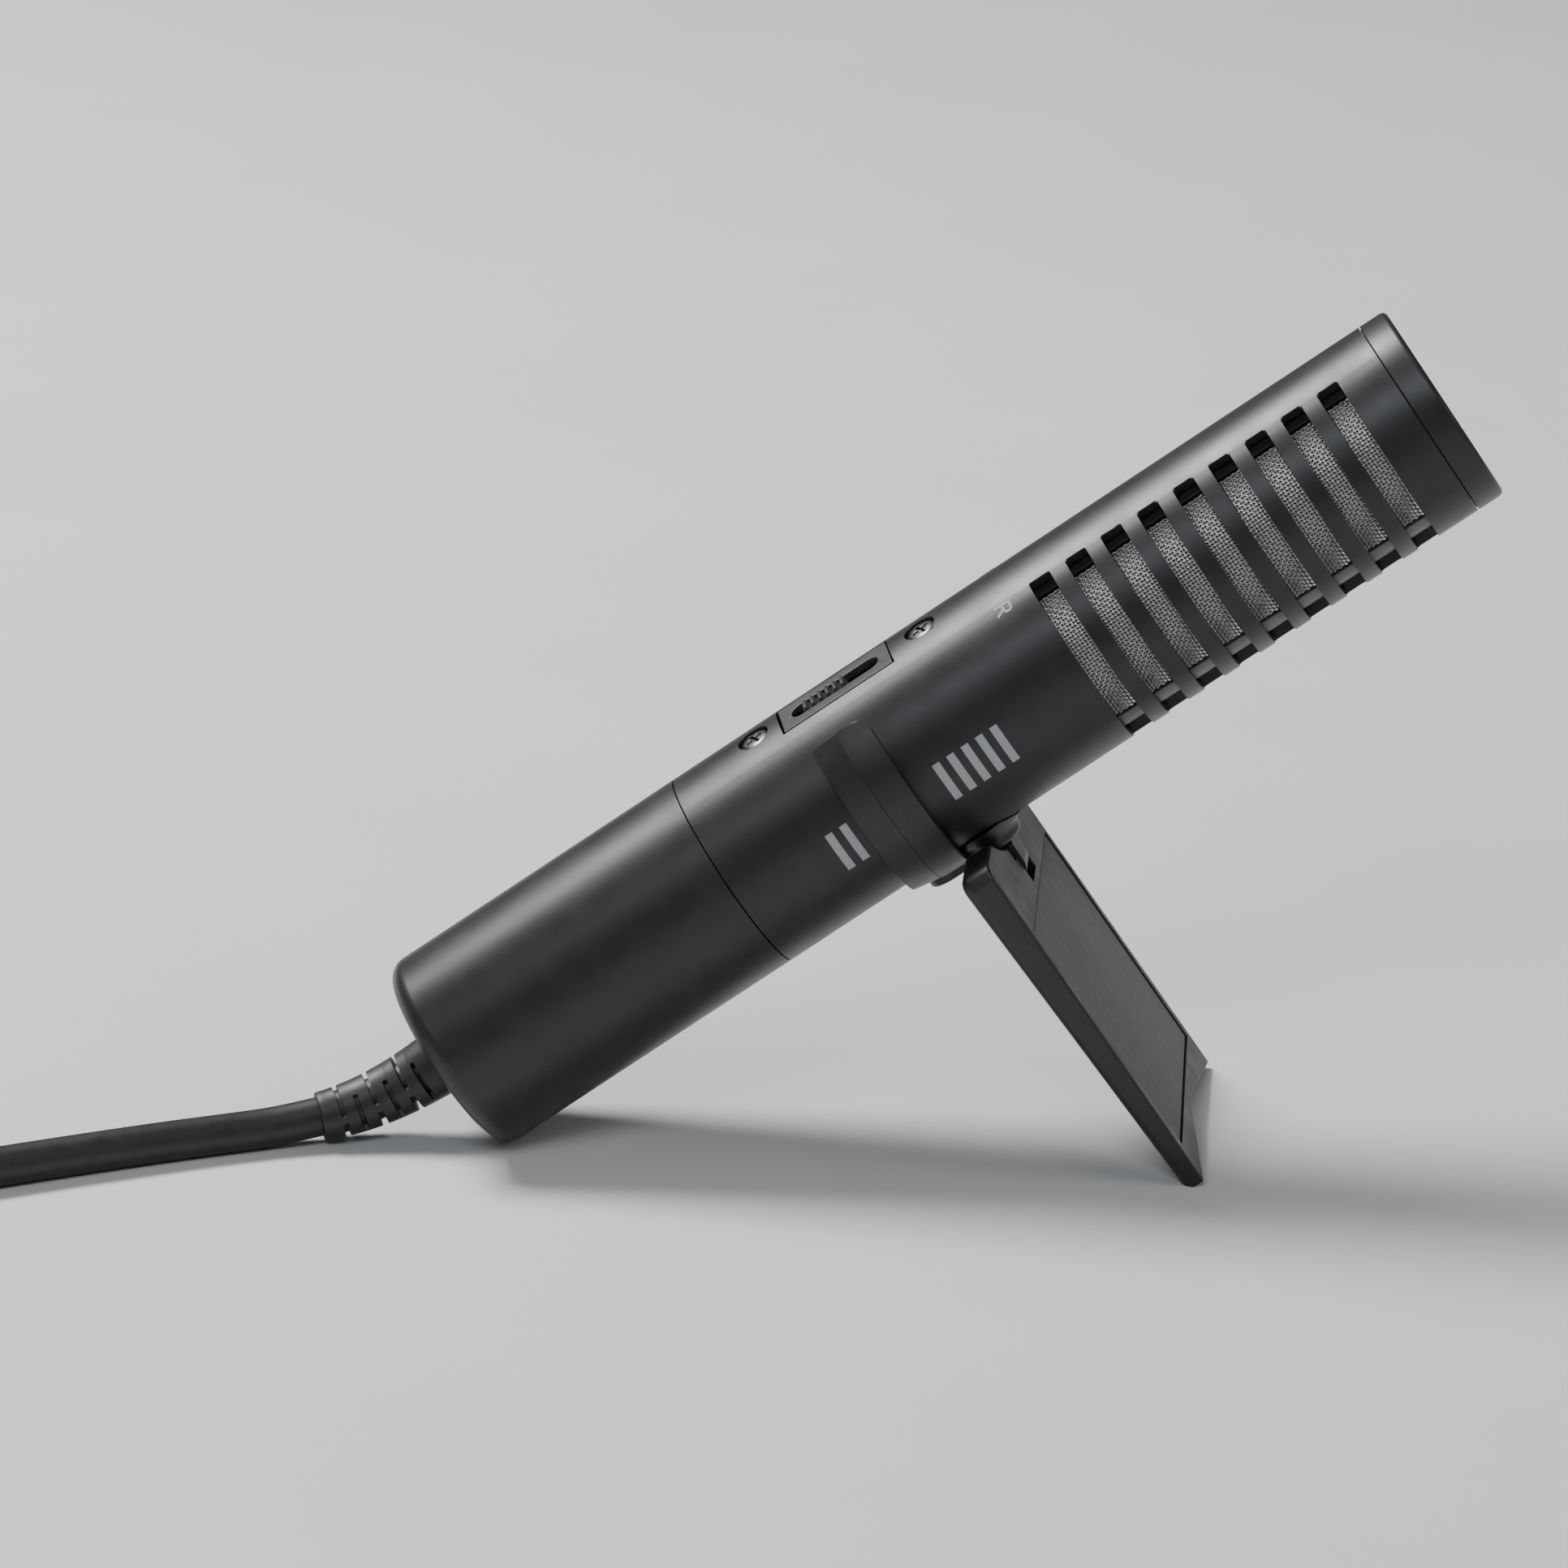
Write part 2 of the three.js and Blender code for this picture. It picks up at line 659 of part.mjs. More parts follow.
function leadCurve() {
  const points = LEAD_ROUTE.map(
    ([x, y, z]) => new THREE.Vector3(REAR_X + x, REAR_Y + y, REAR_Z + z),
  );
  return new THREE.CatmullRomCurve3(points, false, "centripetal");
}

// The part of a curve between two distances along it, as its own curve.
function stretch(curve, from, to, count) {
  const whole = curve.getLength();
  const points = [];
  for (let i = 0; i <= count; i++) {
    points.push(curve.getPointAt((from + ((to - from) * i) / count) / whole));
  }
  return new THREE.CatmullRomCurve3(points, false, "centripetal");
}

function cordTube(curve, steps) {
  const section = new THREE.Shape();
  for (let i = 0; i < LEAD_SIDES; i++) {
    const a = (i / LEAD_SIDES) * 2 * Math.PI;
    const [x, y] = [CORD_R * Math.cos(a), CORD_R * Math.sin(a)];
    if (i === 0) section.moveTo(x, y);
    else section.lineTo(x, y);
  }
  section.closePath();
  return solid(new THREE.ExtrudeGeometry(section, { steps, extrudePath: curve }));
}

// A tapered sleeve round the cord where it leaves the rear face.
function strainRelief(curve) {
  const pieces = 6;
  const whole = curve.getLength();
  const inside = 3.3; // reaches in to the battery tray
  const root = new THREE.CylinderGeometry(RELIEF_R, RELIEF_R, inside, SMALL_ROUND);
  const axis = new THREE.Vector3(Math.cos(INCLINE), 0, Math.sin(INCLINE));
  const turn = new THREE.Quaternion().setFromUnitVectors(new THREE.Vector3(0, 1, 0), axis);
  const middle = axis.clone().multiplyScalar(inside / 2 - 0.05);
  root.applyQuaternion(turn).translate(REAR_X + middle.x, REAR_Y + middle.y, REAR_Z + middle.z);
  const shapes = [solid(root)];
  for (let i = 0; i < pieces; i++) {
    const ends = [i, i + 1].map((k) => (k / pieces) * RELIEF_LENGTH);
    const [from, to] = ends.map((d) => curve.getPointAt(d / whole));
    const [fromR, toR] = ends.map((d) =>
      THREE.MathUtils.lerp(RELIEF_R, RELIEF_END_R, d / RELIEF_LENGTH),
    );
    const along = to.clone().sub(from);
    const reach = along.length() + 0.3;
    const piece = new THREE.CylinderGeometry(toR, fromR, reach, SMALL_ROUND);
    const lean = new THREE.Quaternion().setFromUnitVectors(
      new THREE.Vector3(0, 1, 0),
      along.normalize(),
    );
    const at = from.clone().add(to).multiplyScalar(0.5);
    shapes.push(solid(piece.applyQuaternion(lean).translate(at.x, at.y, at.z)));
  }
  return join(...shapes);
}

function racetrack(radius) {
  const half = HANK_RUN / 2;
  const outline = new THREE.Shape();
  outline.moveTo(-half, -radius);
  outline.lineTo(half, -radius);
  outline.absarc(half, 0, radius, -Math.PI / 2, Math.PI / 2, false);
  outline.lineTo(-half, radius);
  outline.absarc(-half, 0, radius, Math.PI / 2, (3 * Math.PI) / 2, false);
  return outline;
}

function hank() {
  const outline = racetrack(HANK_OUTER_R + CORD_R + HANK_SKIN);
  outline.holes.push(racetrack(HANK_INNER_R - CORD_R - HANK_SKIN));
  const options = { depth: HANK_HEIGHT, bevelEnabled: false, curveSegments: 10 };
  const raised = new THREE.ExtrudeGeometry(outline, options);
  return solid(raised.translate(REAR_X + HANK_X, REAR_Y, 0));
}

function plugAt(shape) {
  return shape.translate([REAR_X + HANK_X + PLUG_X, REAR_Y + PLUG_Y, PLUG_R]);
}

function plugBody() {
  const profile = [
    [0, 0],
    [0, CORD_R + 0.3],
    [7, PLUG_R - 0.3],
    [7.6, PLUG_R],
    [PLUG_LENGTH, PLUG_R],
    [PLUG_LENGTH, 0],
  ];
  return plugAt(turned(profile, SMALL_ROUND));
}

function plugPin() {
  const from = PLUG_LENGTH + GAP;
  const profile = [
    [from, 0],
    [from, 1.75],
    [from + PIN_TIP - 3.2, 1.75],
    [from + PIN_TIP - 2.6, 1.3],
    [from + PIN_TIP - 1.6, 1.75],
    [from + PIN_TIP, 0.6],
    [from + PIN_TIP, 0],
  ];
  return plugAt(turned(profile, SMALL_ROUND));
}

// The last of the cord, from the hank's inner wall to the plug.
function cordTail() {
  const route = [
    [-12, 10.4, 3.2],
    [-7, 8.6, 3.5],
    [-2, 7.3, 3.9],
    [PLUG_X - 2, PLUG_Y, PLUG_R],
    [PLUG_X - 2 * GAP, PLUG_Y, PLUG_R],
  ];
  const points = route.map(
    ([x, y, z]) => new THREE.Vector3(REAR_X + HANK_X + x, REAR_Y + y, z),
  );
  return cordTube(new THREE.CatmullRomCurve3(points, false, "centripetal"), 5);
}

// ---------------------------------------------------------------- assembly

function addTube(group) {
  addMesh(group, "barrel", CHARCOAL, barrel());
  addMesh(group, "front_cap", CHARCOAL, frontCap());
  addMesh(group, "front_mesh", WOVEN_WIRE, rod(CAP_START + 1.2, CAP_START + 1.8, 12.6, ROUND / 2));
  addMesh(group, "mesh_right", WOVEN_WIRE, wireMesh(-1));
  addMesh(group, "mesh_left", WOVEN_WIRE, wireMesh(1));
  addMesh(group, "inner_frame", BLACK_PLASTIC, innerFrame());
  addMesh(group, "foam_liner", FOAM, tube(111, 168, LINER_R - 1.8, LINER_R - 2.8, ROUND / 2));
  addMesh(group, "battery_sleeve", CHARCOAL, batterySleeve());
}

function addSwitch(group) {
  addMesh(group, "switch_plate", SWITCH_GREY, switchPlate());
  addMesh(group, "switch_knob", SWITCH_GREY, switchKnob());
  addMesh(group, "switch_body", BLACK_PLASTIC, switchBody());
  addMesh(group, "screw_rear", STEEL, coverScrew(SCREW_X[0]));
  addMesh(group, "screw_front", STEEL, coverScrew(SCREW_X[1]));
}

function addInside(group) {
  addMesh(group, "capsule_carrier", RUBBER, capsuleCarrier());
  for (const [name, side] of [
    ["capsule_right", -1],
    ["capsule_left", 1],
  ]) {
    const splayed = capsule().rotate([0, 0, side * CAPSULE_SPLAY]);
    addMesh(group, name, STEEL, splayed.translate([CARRIER_X + 7, side * CAPSULE_Y, 0]));
  }
  addMesh(group, "chassis", BLACK_PLASTIC, chassis());
  addMesh(group, "main_board", BOARD_GREEN, mainBoard());
  addMesh(group, "amplifier_chip", BLACK_PLASTIC, amplifierChip());
  addMesh(group, "capacitor", STEEL, capacitor());
  addMesh(group, "battery_tray", BLACK_PLASTIC, batteryTray());
  for (const index of [0, 1]) {
    addMesh(group, "battery_" + (index + 1), CELL_LABEL, batteryCell(index));
    addMesh(group, "contact_spring_" + (index + 1), STEEL, contactSpring(index));
  }
}

function addClip(group) {
  addMesh(group, "clip_ring", BLACK_PLASTIC, clipRing());
  const swivel = new THREE.Group();
  swivel.name = "swivel_frame";
  swivel.rotation.z = -LEG_SWIVEL;
  group.add(swivel);
  addMesh(swivel, "swivel_rivet", STEEL, swivelRivet());
  addMesh(swivel, "swivel_head", BLACK_PLASTIC, swivelHead());
  addMesh(swivel, "hinge_pin", STEEL, hingePin());
  const hinge = new THREE.Group();
  hinge.name = "hinge_frame";
  hinge.position.z = -HINGE_DROP;
  hinge.rotation.y = -LEG_LEAN;
  swivel.add(hinge);
  return hinge;
}

// The middle of the leg's thickness just reaches the table, and its feet are cut level with it.
function addLeg(hinge, object) {
  object.updateMatrixWorld(true);
  const place = hinge.matrixWorld;
  const height = new THREE.Vector3().setFromMatrixPosition(place).z;
  const down = new THREE.Vector3(0, 0, -1).transformDirection(place);
  const length = height / -down.z;
  const floor = new THREE.BoxGeometry(300, 300, 20).translate(0, 0, -10);
  floor.applyMatrix4(place.clone().invert());
  addMesh(hinge, "leg", BLACK_PLASTIC, leg(length, solid(floor)));
  addMesh(hinge, "leg_panel", PANEL_BROWN, legPanel(length));
}

function addCord(group) {
  const curve = leadCurve();
  const leadLength = curve.getLength();
  const start = RELIEF_LENGTH + 2 * GAP;
  const clearOfHank = 1.5;
  const lead = stretch(curve, start, leadLength - clearOfHank, 16);
  addMesh(group, "strain_relief", RUBBER, strainRelief(curve));
  addMesh(group, "cord_lead", RUBBER, cordTube(lead, 26));
  addMesh(group, "cord_hank", RUBBER, hank());
  addMesh(group, "cord_tail", RUBBER, cordTail());
  addMesh(group, "plug_body", RUBBER, plugBody());
  addMesh(group, "plug_pin", GOLD, plugPin());
}

const object = new THREE.Group();

const tilted = new THREE.Group();
tilted.name = "tilted_frame";
tilted.position.set(REAR_X, REAR_Y, REAR_Z);
tilted.rotation.y = -INCLINE;
object.add(tilted);

const microphone = new THREE.Group();
microphone.name = "microphone_frame";
microphone.rotation.x = ROLL;
tilted.add(microphone);
addTube(microphone);
addSwitch(microphone);
addInside(microphone);

const clip = new THREE.Group();
clip.name = "clip_frame";
clip.position.x = CLIP_X;
clip.rotation.x = CLIP_TURN;
tilted.add(clip);
addLeg(addClip(clip), object);

addCord(object);

export default object;
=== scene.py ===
import json
import math

import bmesh
import bpy
import numpy as np
from mathutils import Matrix, Vector
from mathutils.geometry import tessellate_polygon


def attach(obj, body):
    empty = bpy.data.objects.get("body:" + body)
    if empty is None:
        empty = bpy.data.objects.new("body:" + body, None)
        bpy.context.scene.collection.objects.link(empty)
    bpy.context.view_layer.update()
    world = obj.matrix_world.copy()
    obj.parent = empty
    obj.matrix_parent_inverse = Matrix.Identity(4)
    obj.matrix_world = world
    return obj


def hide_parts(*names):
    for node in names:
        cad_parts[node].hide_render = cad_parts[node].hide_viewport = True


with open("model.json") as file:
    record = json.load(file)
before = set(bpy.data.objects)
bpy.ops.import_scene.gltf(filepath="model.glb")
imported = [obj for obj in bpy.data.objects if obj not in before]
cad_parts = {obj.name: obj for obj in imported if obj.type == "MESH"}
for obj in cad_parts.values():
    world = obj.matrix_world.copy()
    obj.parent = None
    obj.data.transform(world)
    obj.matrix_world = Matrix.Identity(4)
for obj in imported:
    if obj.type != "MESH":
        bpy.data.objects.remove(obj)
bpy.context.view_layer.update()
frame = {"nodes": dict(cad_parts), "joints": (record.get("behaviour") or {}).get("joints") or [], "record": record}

# A battery-powered stereo microphone that stands on its rear rim and on its clip's leg.
# Shapes are drawn in millimetres in the frame of the body that they belong to, and placed in metres.

MM = 0.001
SIDES = [("right", -1), ("left", 1)]  # the right is towards -Y
SMOOTH_ANGLE = math.radians(32)
BEVEL_ANGLE = math.radians(40)

# ---- driving dimensions, millimetres

TUBE_R = 16.0
WALL = 1.6
SPAN_STEP = 3.0  # of the barrel's grid, millimetres and degrees
NEAR_X = 0.6  # an even line closer than this to a fixed line is left out
NEAR_DEGREES = 1.0
SLEEVE_END = 51.6
BARREL_START = 51.9
BARREL_END = 172.8
CAP_START = 173.1
CAP_END = 177.4
REAR_EDGE_R = 3.0

SLOT_COUNT = 9
SLOT_FIRST = 112.5
SLOT_PITCH = 6.24
SLOT_WIDTH = 3.6
SLOT_FROM = 22.3  # degrees from the switch, to each side
SLOT_TO = 166.3
SLOT_CORNER_R = 0.35
MESH_FROM = 28.3
MESH_TO = 128.3
WINDOW_START = 110.5
WINDOW_END = 168.0
FRAME_R = 14.1
FRAME_WALL = 1.2
MESH_R = 13.55
MOUTH_R = 13.0
WIRE_PITCH = 0.55
WIRE_R = 0.165
SPIGOT_R = 13.2  # inner radius of the ring that joins the sleeve and the barrel
SEAM_CLOSE = 0.06  # how much each side of a seam reaches into it
SEAM_GAP = 0.02
SEAM_R = 15.5

PLATE_X = 80.0
PLATE_LENGTH = 19.0
PLATE_WIDTH = 7.8
PLATE_TOP = 15.55
PLATE_THICK = 1.2
POCKET_MARGIN = 0.3
SWITCH_SLOT_LENGTH = 15.2
SWITCH_SLOT_WIDTH = 3.4
WELL_TOP = 14.05
WELL_THICK = 0.9
KNOB_X = 78.1
KNOB_LENGTH = 7.8
KNOB_WIDTH = 2.7
KNOB_DEEP = 1.45
KNOB_RIB = 0.45  # half a rib's height
KNOB_RIBS = 6
SCREW_X = [65.8, 95.2]
SCREW_HEAD_R = 2.25
SCREW_SHANK_R = 0.95
SCREW_FOOT = 10.0
SCREW_TOP = 15.75
SCREW_TURN = 22  # degrees that the crosses are turned by
CROSS_LONG = 1.45
CROSS_NARROW = 0.27
CROSS_DEEP = 0.55
RECESS_R = 2.6
RECESS_FLOOR = 14.95

MARK_X = 106.2
MARK_TURN = 23.8
MARK_HEIGHT = 2.7
PRINT_LIFT = 0.05
BAR_GROUPS = [(67.6, 2), (86.4, 5)]  # where each group starts and its number of bars
BAR_PITCH = 2.5
BAR_WIDTH = 1.25
BAR_FROM = 78.3
BAR_TO = 102.3
BAR_LIFT = 0.02

RING_START = -13.2
RING_END = -3.9
RING_BORE_R = 16.3
RING_R = 18.2
RING_LINE = -8.7  # where the two bands meet
RING_OPENING = 48.7
RING_CORNER_R = 2.2
CLEAR_R = 16.2  # nothing under the clip reaches in beyond this
BOSS_DROP = 18.8
BOSS_R = 5.0
BRIDGE_HALF = 4.0
BRIDGE_TOP = 15.0
HINGE_DROP = 22.3
HEAD_R = 3.0

LEG_LEAN = 1.35
LEG_TOP = 7.3
LEG_HALF_TOP = 23.4
LEG_HALF_FOOT = 24.2
LEG_THICK_TOP = 5.2
LEG_THICK_FOOT = 3.2
LEG_EAR_R = 2.5
LEG_EDGE = 1.5  # rounding of the rails behind
FRONT_EDGE = 0.3  # shares of that rounding
FOOT_EDGE = 0.2
CRADLE_R = 19.6
NOTCH_DEPTH = 4.4
KNUCKLE_HALF = 3.5
KNUCKLE_SLOT = 3.7
POCKET_HALF = 5.3
POCKET_FLOOR = 1.0
CUT_REACH = 5.0
PANEL_HALF = 22.0
PANEL_TOP = 4.9
PANEL_FOOT = 6.0
PANEL_DEPTH = 1.3
PANEL_LIFT = 0.05
PANEL_THICK = 1.05
PANEL_GAP = 0.25

CORD_R = 3.0
RELIEF_R = 5.0
RELIEF_END_R = 3.7
RELIEF_LENGTH = 21.0
RELIEF_INSIDE = 2.2
RELIEF_SLOTS = 3  # in each of the two rows
RELIEF_ROWS = [(3.0, 90, 81), (5.7, 0, 46)]  # first slot from the end; direction and half reach, degrees
RELIEF_SLOT_PITCH = 5.4
RELIEF_SLOT_WIDTH = 0.75
RELIEF_SLOT_R = 3.25
CORD_START = 19.0  # where the cord comes out of the relief's bore, along the route
LEAD_STEP = 0.0005  # metres
CORD_STEP = 0.002
LEAD_ROUTE = [
    (0.0, 0.0, 0.0),
    (-0.004, 0.0, -0.0026),
    (-0.008, -0.0002, -0.00475),
    (-0.012, -0.0006, -0.0064),
    (-0.016, -0.0011, -0.00755),
    (-0.020, -0.0017, -0.0083),
    (-0.026, -0.0028, -0.00895),
    (-0.033, -0.0044, -0.00914),
    (-0.042, -0.0068, -0.00914),
    (-0.052, -0.0098, -0.00914),
    (-0.062, -0.0130, -0.00914),
    (-0.072, -0.0164, -0.0091),
    (-0.082, -0.0196, -0.0090),
    (-0.092, -0.0224, -0.0089),
    (-0.1015, -0.0238, -0.0088),
]
HANK_X = -0.147  # metres from the rear face
HANK_RUN = 57.0
HANK_TURNS = [(24.0, 3.4), (24.0, 9.4), (24.0, 15.4), (18.0, 15.4), (18.0, 9.4), (18.0, 3.4)]
TAIL_ROUTE = [(-20.0, 15.3, 3.3), (-12.0, 10.9, 3.2), (-7.0, 8.8, 3.5), (-2.0, 7.4, 3.9), (1.0, 7.0, 4.0)]
PLUG_AT = (3.0, 7.0, 4.0)
PLUG_R = 4.0
PLUG_LENGTH = 17.0
PIN_LENGTH = 14.0
TIE_X = [-13.0, 15.0]
TIE_WIDTH = 10.0
TIE_THICK = 0.33

# ---- frames

joints = {joint["name"]: joint for joint in frame["joints"]}


def frame_matrix(origin, x_axis, z_axis):
    """Takes local millimetres to the row's metres."""
    x = Vector(x_axis).normalized()
    z = Vector(z_axis)
    z = (z - x * z.dot(x)).normalized()
    turn = Matrix((x, z.cross(x), z)).transposed().to_4x4()
    return Matrix.Translation(Vector(origin)) @ turn @ Matrix.Scale(MM, 4)


def middle_of(node):
    """The mean place of a CAD node's corners."""
    corners = frame["nodes"][node].data.vertices
    return sum((v.co for v in corners), Vector()) / len(corners)


rear = Vector(joints["battery_sleeve_turn"]["pos_m"])
tube_axis = Vector(joints["battery_sleeve_turn"]["axis"]).normalized()
clip_axis = Vector(joints["leg_swivel"]["axis"])
hinge_axis = Vector(joints["leg_fold"]["axis"]).normalized()

TUBE = frame_matrix(rear, tube_axis, middle_of("screw_front") - rear)
CLIP = frame_matrix(joints["leg_swivel"]["pos_m"], tube_axis, clip_axis)
SWIVEL = frame_matrix(joints["leg_swivel"]["pos_m"], hinge_axis.cross(clip_axis), clip_axis)
LEAN = Matrix.Rotation(-math.radians(LEG_LEAN), 4, hinge_axis)
lean_z = LEAN @ clip_axis
HINGE = frame_matrix(joints["leg_fold"]["pos_m"], hinge_axis.cross(lean_z), lean_z)
HANK = Matrix.Translation((rear.x + HANK_X, rear.y, 0)) @ Matrix.Scale(MM, 4)


def placed(name, data):
    """A new object of the scene."""
    made = bpy.data.objects.new(name, data)
    bpy.context.scene.collection.objects.link(made)
    return made


# ---- camera and light

CAMERA_AZIMUTH = math.radians(-5.07)
CAMERA_ELEVATION = math.radians(19.0)
CAMERA_DISTANCE = 0.9808
CAMERA_AIM = 87.24  # millimetres along the tube's axis
CAMERA_ASIDE = (-0.02186, -0.00671)
CAMERA_LENS = 152.2


def make_camera():
    a, e = CAMERA_AZIMUTH, CAMERA_ELEVATION
    right = Vector((math.cos(a), math.sin(a), 0))
    back = Vector((math.sin(a) * math.cos(e), -math.cos(a) * math.cos(e), math.sin(e)))
    up = back.cross(right)
    data = bpy.data.cameras.new("camera")
    data.lens = CAMERA_LENS
    data.sensor_width = 36
    data.clip_start = 0.05
    data.clip_end = 50
    camera = placed("camera", data)
    camera.rotation_mode = "QUATERNION"
    camera.rotation_quaternion = Matrix((right, up, back)).transposed().to_quaternion()
    aim = rear + tube_axis * CAMERA_AIM * MM
    camera.location = aim + right * CAMERA_ASIDE[0] + up * CAMERA_ASIDE[1] + back * CAMERA_DISTANCE
    bpy.context.scene.camera = camera


def area_light(name, place, target, size, power, colour):
    data = bpy.data.lights.new(name, "AREA")
    data.shape = "RECTANGLE"
    data.size, data.size_y = size
    data.energy = power
    data.color = colour
    light = placed(name, data)
    light.location = place
    light.rotation_mode = "QUATERNION"
    light.rotation_quaternion = (Vector(target) - Vector(place)).to_track_quat("-Z", "Y")


def make_lights():
    target = (0.0, 0.0, 0.05)
    area_light("key", (-0.70, 0.60, 1.15), target, (0.55, 0.35), 30, (1.0, 0.97, 0.93))
    area_light("soft_front", (-0.45, -1.0, 1.15), target, (0.9, 0.35), 7, (0.90, 0.95, 1.0))
    area_light("soft_right", (1.1, -0.5, 0.8), target, (0.7, 0.7), 4, (1.0, 1.0, 1.0))
    world = bpy.data.worlds.new("studio")
    world.use_nodes = True
    background = world.node_tree.nodes["Background"]
    background.inputs["Color"].default_value = (0.80, 0.83, 0.88, 1)
    background.inputs["Strength"].default_value = 0.14
    bpy.context.scene.world = world


# ---- materials


# Sizes are in millimetres. "uneven" is the size and spread of the roughness, "mottle" the size and
# second colour, and "bump" the size, depth and strength.
LOOKS = {
    "anodised_black": dict(
        colour=(0.020, 0.0205, 0.0225), roughness=0.40, metallic=0.25,
        uneven=(7.0, 0.035), mottle=(3.0, (0.024, 0.0245, 0.027)), bump=(0.16, 0.006, 0.5)),
    "black_plastic": dict(
        colour=(0.0125, 0.0125, 0.0140), roughness=0.42,
        uneven=(4.0, 0.04), mottle=(1.2, (0.017, 0.017, 0.019)), bump=(0.22, 0.010, 0.6)),
    "switch_plastic": dict(
        colour=(0.034, 0.034, 0.034), roughness=0.46,
        uneven=(2.0, 0.05), mottle=(0.8, (0.042, 0.042, 0.041)), bump=(0.18, 0.010, 0.6)),
    "woven_wire": dict(
        colour=(0.86, 0.84, 0.81), roughness=0.34, metallic=0.9,
        uneven=(1.0, 0.06), mottle=(0.9, (0.78, 0.76, 0.74))),
    "screw_steel": dict(
        colour=(0.13, 0.13, 0.135), roughness=0.36, metallic=1.0,
        uneven=(0.5, 0.07), mottle=(0.6, (0.18, 0.18, 0.18)), bump=(0.1, 0.004, 0.4)),
    "spring_steel": dict(
        colour=(0.55, 0.55, 0.55), roughness=0.28, metallic=1.0,
        uneven=(1.0, 0.07), bump=(0.3, 0.003, 0.3)),
    "foam": dict(
        colour=(0.012, 0.012, 0.012), roughness=0.95,
        mottle=(0.5, (0.03, 0.03, 0.03)), bump=(0.4, 0.2, 1.0)),
    "rubber": dict(
        colour=(0.0125, 0.0125, 0.0135), roughness=0.50,
        uneven=(3.0, 0.05), mottle=(1.5, (0.018, 0.018, 0.019)), bump=(0.3, 0.012, 0.5)),
    "panel_brown": dict(
        colour=(0.050, 0.044, 0.040), roughness=0.60, sheen=0.15,
        uneven=(1.5, 0.05), mottle=(0.6, (0.060, 0.054, 0.049)), bump=(0.25, 0.02, 0.7)),
    "board_green": dict(
        colour=(0.02, 0.13, 0.055), roughness=0.35,
        uneven=(1.0, 0.05), mottle=(2.0, (0.015, 0.10, 0.045))),
    "cell_label": dict(
        colour=(0.04, 0.07, 0.22), roughness=0.30, metallic=0.4,
        uneven=(2.0, 0.05), mottle=(4.0, (0.05, 0.085, 0.26))),
    "gold": dict(
        colour=(0.83, 0.62, 0.25), roughness=0.18, metallic=1.0,
        uneven=(1.2, 0.05), bump=(0.15, 0.002, 0.3)),
    "print_grey": dict(
        colour=(0.36, 0.37, 0.40), roughness=0.55,
        mottle=(0.5, (0.31, 0.32, 0.35)), bump=(0.12, 0.005, 0.5)),
    "tie_fabric": dict(
        colour=(0.02, 0.02, 0.021), roughness=0.9, sheen=0.4,
        mottle=(0.4, (0.04, 0.04, 0.042)), bump=(0.35, 0.12, 1.0)),
    "pale_floor": dict(
        colour=(0.74, 0.74, 0.735), roughness=0.75,
        mottle=(60.0, (0.72, 0.72, 0.715)), bump=(1.5, 0.03, 0.2)),
}
COLOUR_DETAIL = 4.0
BUMP_DETAIL = 3.0


class Look:
    """A Principled material with noise in its roughness, colour and surface."""

    def __init__(self, name, colour, roughness, metallic=0.0, sheen=0.0, uneven=None, mottle=None,
                 bump=None):
        self.material = bpy.data.materials.new(name)
        self.material.use_nodes = True
        self.material.diffuse_color = (*colour, 1)
        self.nodes = self.material.node_tree.nodes
        self.links = self.material.node_tree.links
        self.shader = self.nodes["Principled BSDF"]
        self.where = self.nodes.new("ShaderNodeTexCoord").outputs["Object"]
        self.set("Base Color", (*colour, 1))
        self.set("Roughness", roughness)
        self.set("Metallic", metallic)
        self.set("Sheen Weight", sheen)
        if uneven:
            self.vary_roughness(roughness, *uneven)
        if mottle:
            self.vary_colour(colour, *mottle)
        if bump:
            self.add_bump(*bump)

    def set(self, socket, value):
        self.shader.inputs[socket].default_value = value

    def noise(self, size, detail):
        """Noise with features of about that size."""
        node = self.nodes.new("ShaderNodeTexNoise")
        node.inputs["Scale"].default_value = 1 / (size * MM)
        node.inputs["Detail"].default_value = detail
        self.links.new(self.where, node.inputs["Vector"])
        return node.outputs["Fac"]

    def between(self, source, low, high, start, end):
        node = self.nodes.new("ShaderNodeMapRange")
        node.inputs["From Min"].default_value = start
        node.inputs["From Max"].default_value = end
        node.inputs["To Min"].default_value = low
        node.inputs["To Max"].default_value = high
        self.links.new(source, node.inputs["Value"])
        return node.outputs["Result"]

    def vary_roughness(self, roughness, size, spread):
        noise = self.noise(size, COLOUR_DETAIL)
        value = self.between(noise, roughness - spread, roughness + spread, 0.3, 0.7)
        self.links.new(value, self.shader.inputs["Roughness"])

    def vary_colour(self, colour, size, other):
        mix = self.nodes.new("ShaderNodeMix")
        mix.data_type = "RGBA"
        mix.inputs["A"].default_value = (*colour, 1)
        mix.inputs["B"].default_value = (*other, 1)
        share = self.between(self.noise(size, COLOUR_DETAIL), 0, 1, 0.35, 0.65)
        self.links.new(share, mix.inputs["Factor"])
        self.links.new(mix.outputs["Result"], self.shader.inputs["Base Color"])

    def add_bump(self, size, depth, strength):
        node = self.nodes.new("ShaderNodeBump")
        node.inputs["Strength"].default_value = strength
        node.inputs["Distance"].default_value = depth * MM
        self.links.new(self.noise(size, BUMP_DETAIL), node.inputs["Height"])
        self.links.new(node.outputs["Normal"], self.shader.inputs["Normal"])


looks = {name: Look(name, **settings).material for name, settings in LOOKS.items()}

# ---- meshes


